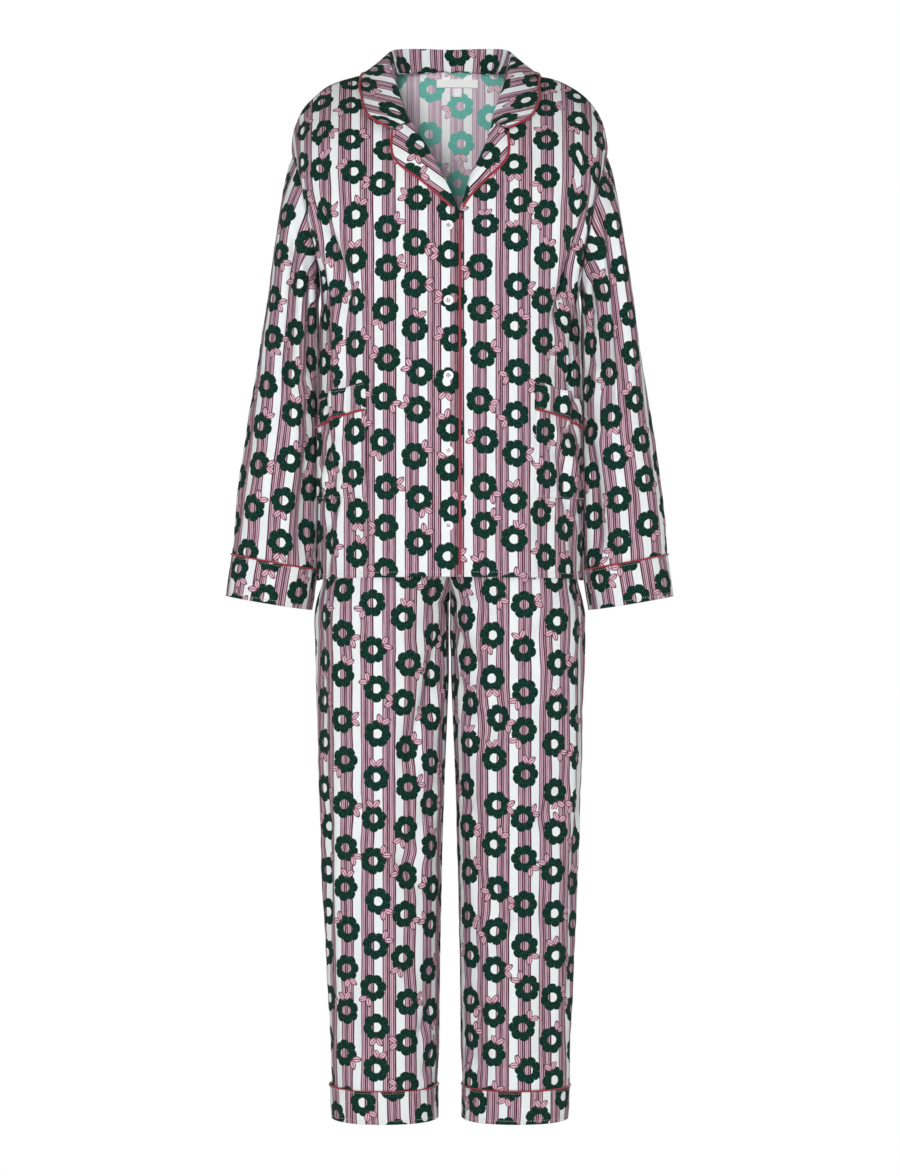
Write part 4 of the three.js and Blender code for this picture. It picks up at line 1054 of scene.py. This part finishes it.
def pocketPoint(side, u, share, fromZ, toZ, flatFoot):
    foot = heightShare(fromZ) + 0 * u if flatFoot else pocketLevel(fromZ, u)
    at = mix(foot, pocketLevel(toZ, u), share)
    across = (u - pocket["innerU"]) / (pocket["outerU"] - pocket["innerU"])
    edges = np.minimum(smooth(0, 0.12, across), 1 - smooth(0.88, 1, across))
    full = pocket["gape"] * edges * (0.35 + 0.65 * share if flatFoot else 1 + 0 * share)
    full *= smooth(0, 0.1, share) if flatFoot else 1
    return onFront(side, u, at, pocket["lift"] + full), at


pocketParts = {
    "pocket": ("bottomZ", "pipingZ", 5, True, (0.115, 0.14)),
    "pocket_band": ("pipingZ", "topZ", 3, False, (0.115, 0.05)),
}
for side, sideName in sideNames.items():
    for part, (fromName, toName, spread, flatFoot, flat) in pocketParts.items():
        count = pocket["rows"] if flatFoot else pocket["rows"] // 3
        u, share = np.meshgrid(np.linspace(pocket["innerU"], pocket["outerU"], pocket["columns"]),
            np.linspace(0, 1, count))
        toZ = pocket[toName] - (seamGap if flatFoot else 0)
        points, at = pocketPoint(side, u, share, pocket[fromName], toZ, flatFoot)
        firstU = np.linspace(0, pocket["innerU"], 40)
        startX = runLength(frontPoint(side, *np.meshgrid(firstU, at[:, 0])), 1)[:, -1] - 11
        coordinates = np.stack([runLength(points, 1) + startX[:, None],
            (at / shirtBody["underarmAt"]) * (shirtBody["underarmZ"] - shirtBody["hemZ"])], -1)
        coordinates = coordinates * (side, 1) + (0 if flatFoot else side * 11, 3 if flatFoot else 14)
        grids = [(mirrored(points, side), coordinates, side < 0)]
        addCloth(f"{part}_{sideName}", grids, pocket["thickness"])
print("collar, lapels and pockets made")

# Piping: a satin cord along a path, round in section, with rounded closed ends.
piping = {"radius": 1.6, "cuffRadius": 1.15, "cuffSunk": 1.1, "proud": 0.6, "sides": 12, "step": 1.6}


def evenPath(points, step, closed=False):
    if closed:
        points = np.concatenate([points, points[:1]])
    run = np.concatenate([[0], np.cumsum(np.linalg.norm(np.diff(points, axis=0), axis=-1))])
    wanted = np.linspace(0, run[-1], max(int(run[-1] / step), 4))
    path = np.stack([np.interp(wanted, run, points[:, k]) for k in range(3)], -1)
    return path[:-1] if closed else path


def addPiping(name, points, closed=False, fullRadius=piping["radius"]):
    path = evenPath(np.asarray(points), piping["step"], closed)
    if closed:
        along = np.roll(path, -1, axis=0) - np.roll(path, 1, axis=0)
    else:
        along = np.gradient(path, axis=0)
    along /= np.linalg.norm(along, axis=-1, keepdims=True)
    sideways = np.cross(along, (0.13, 0.05, 0.99))
    sideways /= np.maximum(np.linalg.norm(sideways, axis=-1, keepdims=True), 1e-6)
    upward = np.cross(sideways, along)
    count, sides = len(path), piping["sides"]
    angle = np.linspace(0, 2 * np.pi, sides, endpoint=False)
    fromEnd = np.minimum(np.arange(count), np.arange(count)[::-1]) * piping["step"]
    fullness = np.ones(count) if closed else np.sqrt(np.clip(fromEnd / fullRadius * 0.8 + 0.25, 0, 1))
    radius = fullRadius * fullness * (1 + 0.03 * np.sin(np.arange(count) * 0.9))
    ring = np.cos(angle)[None, :, None] * sideways[:, None] + np.sin(angle)[None, :, None] * upward[:, None]
    points = path[:, None] + ring * radius[:, None, None]
    ids = np.arange(count * sides).reshape(count, sides)
    ahead, beside = np.roll(ids, -1, axis=0), np.roll(ids, -1, axis=1)
    quads = np.stack([ids, ahead, np.roll(ahead, -1, axis=1), beside], -1)
    quads = (quads if closed else quads[:-1]).reshape(-1, 4).tolist()
    caps = [] if closed else [ids[0].tolist(), ids[-1][::-1].tolist()]
    mesh = bpy.data.meshes.new(name)
    mesh.from_pydata(points.reshape(-1, 3) * mm, [], quads + caps)
    run = np.arange(count) * piping["step"] * mm
    onCloth = np.stack(np.broadcast_arrays(run[:, None], angle[None] * fullRadius * mm), -1).reshape(-1, 2)
    corners = np.zeros(len(mesh.loops), np.int32)
    mesh.loops.foreach_get("vertex_index", corners)
    mesh.uv_layers.new(name="cloth").data.foreach_set("uv", onCloth[corners].astype(np.float32).ravel())
    mesh.polygons.foreach_set("use_smooth", np.ones(len(mesh.polygons), bool))
    mesh.update()
    piece = addPiece(mesh, [crimsonSatin], name)
    return piece


def direction(vectors):
    return vectors / np.linalg.norm(vectors, axis=-1, keepdims=True)


clearOfEdge = seamGap + piping["radius"]
pathAt = np.linspace(0, 1, 160)
edges = {}
for side in sideNames:
    edge = collarPoint(side, 0 * pathAt + 1, pathAt)
    out = direction(edge - collarPoint(side, 0 * pathAt + 0.92, pathAt))
    edges[side] = mirrored(edge + out * clearOfEdge, side)
addPiping("piping_collar", np.concatenate([edges[-1][::-1], edges[1][1:]]))

lapelPathAt = np.linspace(lapel["from"], 1, 80)
for side, sideName in sideNames.items():
    edge = lapelPoint(side, 0 * lapelPathAt + 1, lapelPathAt)
    out = direction(edge - lapelPoint(side, 0 * lapelPathAt + 0.8, lapelPathAt))
    edge += out * clearOfEdge + (0, 1 - piping["proud"], 0)
    addPiping(f"piping_lapel_{sideName}", mirrored(edge, side))

frontPathAt = np.linspace(0.004, shirtBody["lapelFootAt"] - 0.006, 160)
edge = frontPoint(-1, 0 * frontPathAt, frontPathAt)
edge += (-clearOfEdge, 0.8 - piping["proud"], 0)
addPiping("piping_front_edge", mirrored(edge, -1))

cuffPathTurns = np.linspace(0, 1, 121)[:-1]
for side, sideName in sideNames.items():
    u = np.linspace(pocket["innerU"], pocket["outerU"], 60)
    across = (u - pocket["innerU"]) / (pocket["outerU"] - pocket["innerU"])
    edges = np.minimum(smooth(0, 0.12, across), 1 - smooth(0.88, 1, across))
    cord = onFront(side, u, pocketLevel(pocket["pipingZ"], u),
        pocket["lift"] + clearOfEdge - 0.5 + pocket["gape"] * edges)
    addPiping(f"piping_pocket_{sideName}", mirrored(cord, side))

    ring = station(sleeveCuffTable, 0 * cuffPathTurns)
    edge = ringCuff(ringPoint(ring, cuffPathTurns), cuffPathTurns, ringCentre(ring), side)
    cord = edge + direction(edge - ringCentre(ring)) * (clearOfEdge - piping["cuffSunk"])
    addPiping(f"piping_sleeve_cuff_{sideName}", mirrored(cord, side), True, piping["cuffRadius"])

    edge = legRing(cuffPathTurns, 0 * cuffPathTurns + trousers["legSeamZ"])
    centre = np.array([column(trouserTable, "centre", trousers["legSeamZ"]), 0, trousers["legSeamZ"]])
    cord = edge + direction(edge - centre) * (clearOfEdge - piping["cuffSunk"])
    addPiping(f"piping_leg_cuff_{sideName}", mirrored(cord, side), True, piping["cuffRadius"])
print("piping made")

# Buttons: turned discs with a raised rim and four holes, sewn on with crossed thread.
button = {
    "radius": 6.5, "thickness": 2.4, "lift": 0.3, "x": 2, "firstZ": -208, "pitch": 98.5, "count": 5,
    "holeRadius": 0.95, "holePlace": 1.6, "threadRadius": 0.26,
}
buttonWhite, whiteTree, whiteShader, _ = newMaterial("buttonWhite", 0.22, Coat_Weight=0.35,
    Coat_Roughness=0.12)
mottle = whiteTree.nodes.new("ShaderNodeTexCoord").outputs["Object"]
milky = noise(whiteTree, mottle, 260, 3)
feed(whiteTree, whiteShader.inputs["Base Color"],
    blendColours(whiteTree, milky, colour(238, 238, 240), colour(250, 250, 248)))
feed(whiteTree, whiteShader.inputs["Roughness"],
    sums(whiteTree, "ADD", sums(whiteTree, "MULTIPLY", milky, 0.16), 0.14))


# Painted shade: the walls of the holes are dark grey, standing for the shade down in the holes of the white
# button.
holeShade = makePlainCloth("buttonHolePaintedShade", colour(70, 64, 66), 0.6, 0.1)


# A disc turned from a profile of (radius, height) rows, closed at both poles.
def turned(profile, sides):
    profile = np.array(profile, float)
    angle = np.linspace(0, 2 * np.pi, sides, endpoint=False)
    rings = np.stack([profile[:, :1] * np.cos(angle), profile[:, :1] * np.sin(angle),
        profile[:, 1:] + 0 * angle], -1)
    ids = np.arange(len(profile) * sides).reshape(len(profile), sides)
    beside = np.roll(ids, -1, axis=1)
    quads = np.stack([ids[:-1], beside[:-1], beside[1:], ids[1:]], -1).reshape(-1, 4)
    return rings.reshape(-1, 3), quads.tolist() + [ids[0][::-1].tolist(), ids[-1].tolist()]


def meshOf(name, points, faces):
    mesh = bpy.data.meshes.new(name)
    mesh.from_pydata(points, [], faces)
    mesh.update()
    return mesh


# One button at the origin, facing +Z, in millimetres, with its holes cut through.
def makeButtonMesh():
    r, t = button["radius"], button["thickness"]
    profile = [(0.6, 0), (r - 0.9, 0), (r - 0.25, 0.35), (r, 1.0), (r, t - 0.8), (r - 0.2, t - 0.3),
        (r - 0.7, t),
               (r - 1.3, t - 0.05), (r - 1.9, t - 0.45), (r - 2.6, t - 0.65), (0.6, t - 0.6)]
    disc = bpy.data.objects.new("disc", meshOf("disc", *turned(profile, 48)))
    holes = bmesh.new()
    for dx, dy in ((1, 1), (1, -1), (-1, 1), (-1, -1)):
        made = bmesh.ops.create_cone(holes, cap_ends=True, segments=14, radius1=button["holeRadius"],
                                     radius2=button["holeRadius"], depth=3 * t)
        bmesh.ops.translate(holes, verts=made["verts"],
            vec=(dx * button["holePlace"], dy * button["holePlace"], t / 2))
    cutterMesh = bpy.data.meshes.new("cutter")
    holes.to_mesh(cutterMesh)
    holes.free()
    cutter = bpy.data.objects.new("cutter", cutterMesh)
    for piece in (disc, cutter):
        bpy.context.scene.collection.objects.link(piece)
    cut = disc.modifiers.new("holes", "BOOLEAN")
    cut.operation, cut.solver, cut.object = "DIFFERENCE", "EXACT", cutter
    bpy.context.view_layer.update()
    result = bpy.data.meshes.new_from_object(disc.evaluated_get(bpy.context.evaluated_depsgraph_get()))
    bpy.data.objects.remove(disc)
    bpy.data.objects.remove(cutter)
    centres = np.zeros(3 * len(result.polygons))
    result.polygons.foreach_get("center", centres)
    # The faces on the holes' walls, which take the painted hole shade.
    fromHole = np.hypot(np.abs(centres[::3]) - button["holePlace"],
        np.abs(centres[1::3]) - button["holePlace"])
    inHole = (fromHole < button["holeRadius"] * 1.02) & (centres[2::3] < t - 0.62) & (centres[2::3] > 0.05)
    return result, inHole.astype(np.int32)


def bentRod(start, end, height, radius, sides=6, count=9):
    t = np.linspace(0, 1, count)
    rise = np.outer(np.sin(np.pi * t) ** 0.5 * height, (0, 0, 1))
    path = np.outer(1 - t, start) + np.outer(t, end) + rise
    along = direction(np.gradient(path, axis=0))
    flat = direction(np.cross(along, (0.3, -0.2, 1.0)))
    up = np.cross(flat, along)
    angle = np.linspace(0, 2 * np.pi, sides, endpoint=False)
    rings = path[:, None] + radius * (np.cos(angle)[None, :, None] * flat[:, None]
        + np.sin(angle)[None, :, None] * up[:, None])
    ids = np.arange(count * sides).reshape(count, sides)
    beside = np.roll(ids, -1, axis=1)
    quads = np.stack([ids[:-1], ids[1:], beside[1:], beside[:-1]], -1).reshape(-1, 4)
    return rings.reshape(-1, 3), quads.tolist() + [ids[0].tolist(), ids[-1][::-1].tolist()]


buttonMesh, inHole = makeButtonMesh()
buttonPoints = np.array([vertex.co for vertex in buttonMesh.vertices])
buttonFaces = [list(face.vertices) for face in buttonMesh.polygons]
hole, top = button["holePlace"], button["thickness"] - 0.62
threadRods = [bentRod((-hole, -hole + d, top - 0.9), (hole, hole + d, top - 0.9), 1.15,
    button["threadRadius"]) for d in (-0.3, 0.3)]
threadRods += [bentRod((-hole, hole + d, top - 0.9), (hole, -hole + d, top - 0.9), 1.45,
    button["threadRadius"]) for d in (-0.3, 0.3)]
for i in range(button["count"]):
    u, at = frontPlace(-1, np.array([button["x"]]), np.array([button["firstZ"] - i * button["pitch"]]))
    normal = mirrored(frontNormals(-1, u, at), -1)[0]
    spot = mirrored(onFront(-1, u, at, button["lift"]), -1)[0]
    spin = 0.35 + 1.1 * i
    sideAxis = direction(np.cross((0, 0, 1.0), normal))
    upAxis = np.cross(normal, sideAxis)
    frameAxes = np.stack([np.cos(spin) * sideAxis + np.sin(spin) * upAxis,
        np.cos(spin) * upAxis - np.sin(spin) * sideAxis, normal])
    name = f"button_{i + 1}"
    mesh = meshOf(name, (buttonPoints @ frameAxes + spot) * mm, buttonFaces)
    # The hole walls take the painted shade material, the rest the button's own white.
    piece = addPiece(mesh, [buttonWhite, holeShade], name)
    mesh.polygons.foreach_set("material_index", inHole)
    mesh.polygons.foreach_set("use_smooth", np.ones(len(mesh.polygons), bool))
    mesh.set_sharp_from_angle(angle=0.7)
    points, faces, start = [], [], 0
    for rodPoints, rodFaces in threadRods:
        points.append(rodPoints)
        faces += [[start + corner for corner in face] for face in rodFaces]
        start += len(rodPoints)
    thread = meshOf(f"{name}_thread", (np.concatenate(points) @ frameAxes + spot) * mm, faces)
    thread.uv_layers.new(name="cloth")
    addPiece(thread, [buttonThreadPaintedShade], None)
print("buttons made")

# The blank label and the blank size tag under it, on the inside of the back.
tapes = {
    "neck_label": {"x": 10, "width": 57, "height": 15, "bottomAt": 0.931, "topAt": 0.943, "columns": 40},
    "size_tag": {"x": 10, "width": 12, "height": 14, "bottomAt": 0.919, "topAt": 0.93, "columns": 12},
}
tapeClearance, tapeThickness = 1.1, 1.0
for name, tape in tapes.items():
    share, rise = np.meshgrid(np.linspace(0, 1, tape["columns"]), np.linspace(0, 1, 12))
    at = mix(tape["bottomAt"], tape["topAt"], rise)
    x = tape["x"] + (share - 0.5) * tape["width"]
    across = np.abs(x) / outerEdge(at, False)[0]
    u = 2 / np.pi * np.arcsin(across ** (shirtBody["roundness"] / 2))
    behind = plainBack(u, at)
    slope = plainBack(u, at + 0.003) - plainBack(u, at - 0.003)
    inward = direction(np.stack([0 * x, -slope[..., 2], slope[..., 1]], -1))
    points = behind + inward * (1.6 + tapeClearance + tapeThickness + 0.4 * np.sin(share * 7))[..., None]
    points[..., 0] = x
    coordinates = np.stack([x, runLength(points, 0)], -1)
    addCloth(name, [(points, coordinates, False)], 0.8,
             lining=labelSatin, facing=labelSatin)
print("label made")

# Machine stitches: short rounded threads in rows, a little apart, lying on the cloth.
stitching = {"length": 2.3, "pitch": 3.1, "radius": 0.26, "lift": 0.12}


def stitchMesh(name, rows):
    t = np.array([-0.5, -0.3, 0, 0.3, 0.5]) * stitching["length"]
    girth = np.array([0.15, 0.85, 1, 0.85, 0.15]) * stitching["radius"]
    sink = np.array([-0.24, -0.04, 0, -0.04, -0.24])
    angle = np.linspace(0, 2 * np.pi, 4, endpoint=False) + 0.4
    local = np.stack([np.broadcast_to(t[:, None], (5, 4)), girth[:, None] * np.cos(angle),
        girth[:, None] * np.sin(angle) + sink[:, None]], -1)
    local = local.reshape(-1, 3)
    ids = np.arange(20).reshape(5, 4)
    beside = np.roll(ids, -1, axis=1)
    quads = np.stack([ids[:-1], ids[1:], beside[1:], beside[:-1]], -1).reshape(-1, 4)
    quads = np.concatenate([quads, ids[:1], ids[-1:, ::-1]])
    allPoints, allFaces, start = [], [], 0
    for path, normals in rows:
        run = np.concatenate([[0], np.cumsum(np.linalg.norm(np.diff(path, axis=0), axis=-1))])
        wanted = np.arange(stitching["pitch"] / 2, run[-1], stitching["pitch"])
        middle = np.stack([np.interp(wanted, run, path[:, k]) for k in range(3)], -1)
        ahead = np.stack([np.interp(wanted + 0.5, run, path[:, k]) for k in range(3)], -1)
        up = direction(np.stack([np.interp(wanted, run, normals[:, k]) for k in range(3)], -1))
        along = ahead - middle
        along = direction(along + (np.linalg.norm(along, axis=-1, keepdims=True) < 1e-6) * (0, 0, 1e-3))
        sideways = direction(np.cross(up, along))
        axes = np.stack([along, sideways, np.cross(along, sideways)], 1)
        points = middle[:, None] + up[:, None] * stitching["lift"] + local @ axes
        allPoints.append(points.reshape(-1, 3))
        counts = start + np.arange(len(middle)) * 20
        allFaces.append((counts[:, None, None] + quads[None]).reshape(-1, 4))
        start += len(middle) * 20
    mesh = meshOf(name, np.concatenate(allPoints) * mm, np.concatenate(allFaces))
    mesh.uv_layers.new(name="cloth")
    mesh.polygons.foreach_set("use_smooth", np.ones(len(mesh.polygons), bool))
    return mesh


def frontRow(side, u, at, lift=0.0):
    normals = frontNormals(side, u, at)
    return mirrored(onFront(side, u, at, lift + 0 * u), side), mirrored(normals, side)


def backRow(side, u, at):
    normals = normalsOf(lambda s, t: backPoint(side, s, t), u, at, -1)
    return mirrored(backPoint(side, u, at), side), mirrored(normals, side)


def ringRow(side, points, centre):
    return mirrored(points, side), mirrored(direction(points - centre), side)


line = np.linspace(0, 1, 200)
shirtRows, trouserRows = [], []
hemAt = heightShare(shirtBody["hemZ"] + 6.5) + 0 * line
for side in sideNames:
    shirtRows.append(frontRow(side, line * 0.99 + 0.005, hemAt))
    shirtRows.append(backRow(side, line * 0.99 + 0.005, hemAt))
    inset = 0.012
    for u0, v0, u1, v1 in ((0, 1, 0, 0), (0, 0, 1, 0), (1, 0, 1, 1)):
        acrossShare = mix(mix(inset, 1 - inset, u0), mix(inset, 1 - inset, u1), line)
        upShare = mix(mix(0.02, 1, v0), mix(0.02, 1, v1), line)
        u = mix(pocket["innerU"], pocket["outerU"], acrossShare)
        points, at = pocketPoint(side, u, upShare, pocket["bottomZ"], pocket["pipingZ"], True)
        shirtRows.append((mirrored(points, side), mirrored(frontNormals(side, u, at), side)))
    u = mix(pocket["innerU"] + 0.006, pocket["outerU"] - 0.006, line)
    for rise in (0.1, 0.93):
        points, at = pocketPoint(side, u, rise + 0 * line, pocket["pipingZ"], pocket["topZ"], False)
        shirtRows.append((mirrored(points, side), mirrored(frontNormals(side, u, at), side)))
    for rise in (0.06, 0.9):
        ring = station(sleeveCuffTable, rise + 0 * line)
        points = ringCuff(ringPoint(ring, line), line, ringCentre(ring), side)
        shirtRows.append(ringRow(side, points, ringCentre(ring)))
    for drop in (3.5, 40):
        z = trousers["legSeamZ"] - drop + 0 * line
        points = legRing(line, z)
        centre = np.stack([column(trouserTable, "centre", z), 0 * z, z], -1)
        trouserRows.append(ringRow(side, points + (points - centre) / 70 * 0.5, centre))
for name, rows, slotName in (("stitching_shirt", shirtRows, "printed_cotton"),
        ("stitching_trousers", trouserRows, "printed_cotton")):
    addPiece(stitchMesh(name, rows), [paleThread], None)
print("stitching made")

# A pale floor that goes on into a white sky. Both are plain white where the camera looks at
# them, and light the cloth softly; the lamps stand all round.
studio = {"floorZ": -1.52, "size": 12, "floorShade": 0.93, "skyStrength": 0.17}


def seenByCamera(tree):
    return tree.nodes.new("ShaderNodeLightPath").outputs["Is Camera Ray"]


floorMaterial, floorTree, floorShader, _ = newMaterial("studioWhite", 0.9)
floorShader.inputs["Base Color"].default_value = (*[studio["floorShade"]] * 3, 1)
seenWhite = floorTree.nodes.new("ShaderNodeEmission")
either = floorTree.nodes.new("ShaderNodeMixShader")
floorTree.links.new(seenByCamera(floorTree), either.inputs["Fac"])
floorTree.links.new(floorShader.outputs[0], either.inputs[1])
floorTree.links.new(seenWhite.outputs[0], either.inputs[2])
floorTree.links.new(either.outputs[0], floorTree.nodes["Material Output"].inputs["Surface"])
floorX, floorY = np.meshgrid([-studio["size"], studio["size"]], [-studio["size"], studio["size"]])
points = np.stack([floorX, floorY, studio["floorZ"] + 0.0 * floorX], -1)
floorMesh = meshFromGrids("floor", [(points / mm, points[..., :2], False)])
floorMesh.materials.append(floorMaterial)
floor = bpy.data.objects.new("floor", floorMesh)
bpy.context.scene.collection.objects.link(floor)

world = bpy.data.worlds.new("studioWorld")
world.use_nodes = True
sky = world.node_tree.nodes["Background"]
sky.inputs["Color"].default_value = (1, 1, 1, 1)
seen = sums(world.node_tree, "MULTIPLY", seenByCamera(world.node_tree), 1 - studio["skyStrength"])
feed(world.node_tree, sky.inputs["Strength"], sums(world.node_tree, "ADD", seen, studio["skyStrength"]))
bpy.context.scene.world = world
lights = {
    "keyLight": {"place": (-0.6, -4.7, -0.2), "aim": (0, 0, -0.6), "size": 1.0, "power": 130},
    "fillLight": {"place": (1.4, -4.2, 1.3), "aim": (0, 0, -0.4), "size": 1.6, "power": 34},
    "lowLight": {"place": (-0.6, -4.2, -1.2), "aim": (0, 0, -1.0), "size": 1.6, "power": 7},
    "backLight": {"place": (0.9, 4.6, 0.3), "aim": (0, 0, -0.6), "size": 1.4, "power": 118},
    "leftLight": {"place": (4.4, 0.9, 0.4), "aim": (0, 0, -0.7), "size": 2.2, "power": 26},
    "rightLight": {"place": (-4.4, 0.9, 0.4), "aim": (0, 0, -0.7), "size": 2.2, "power": 26},
}
for name, light in lights.items():
    data = bpy.data.lights.new(name, "AREA")
    data.size, data.energy = light["size"], light["power"]
    lamp = bpy.data.objects.new(name, data)
    lamp.location = light["place"]
    lamp.rotation_euler = (Vector(light["aim"]) - lamp.location).to_track_quat("-Z", "Y").to_euler()
    lamp.visible_camera = False
    bpy.context.scene.collection.objects.link(lamp)
print("stage made")
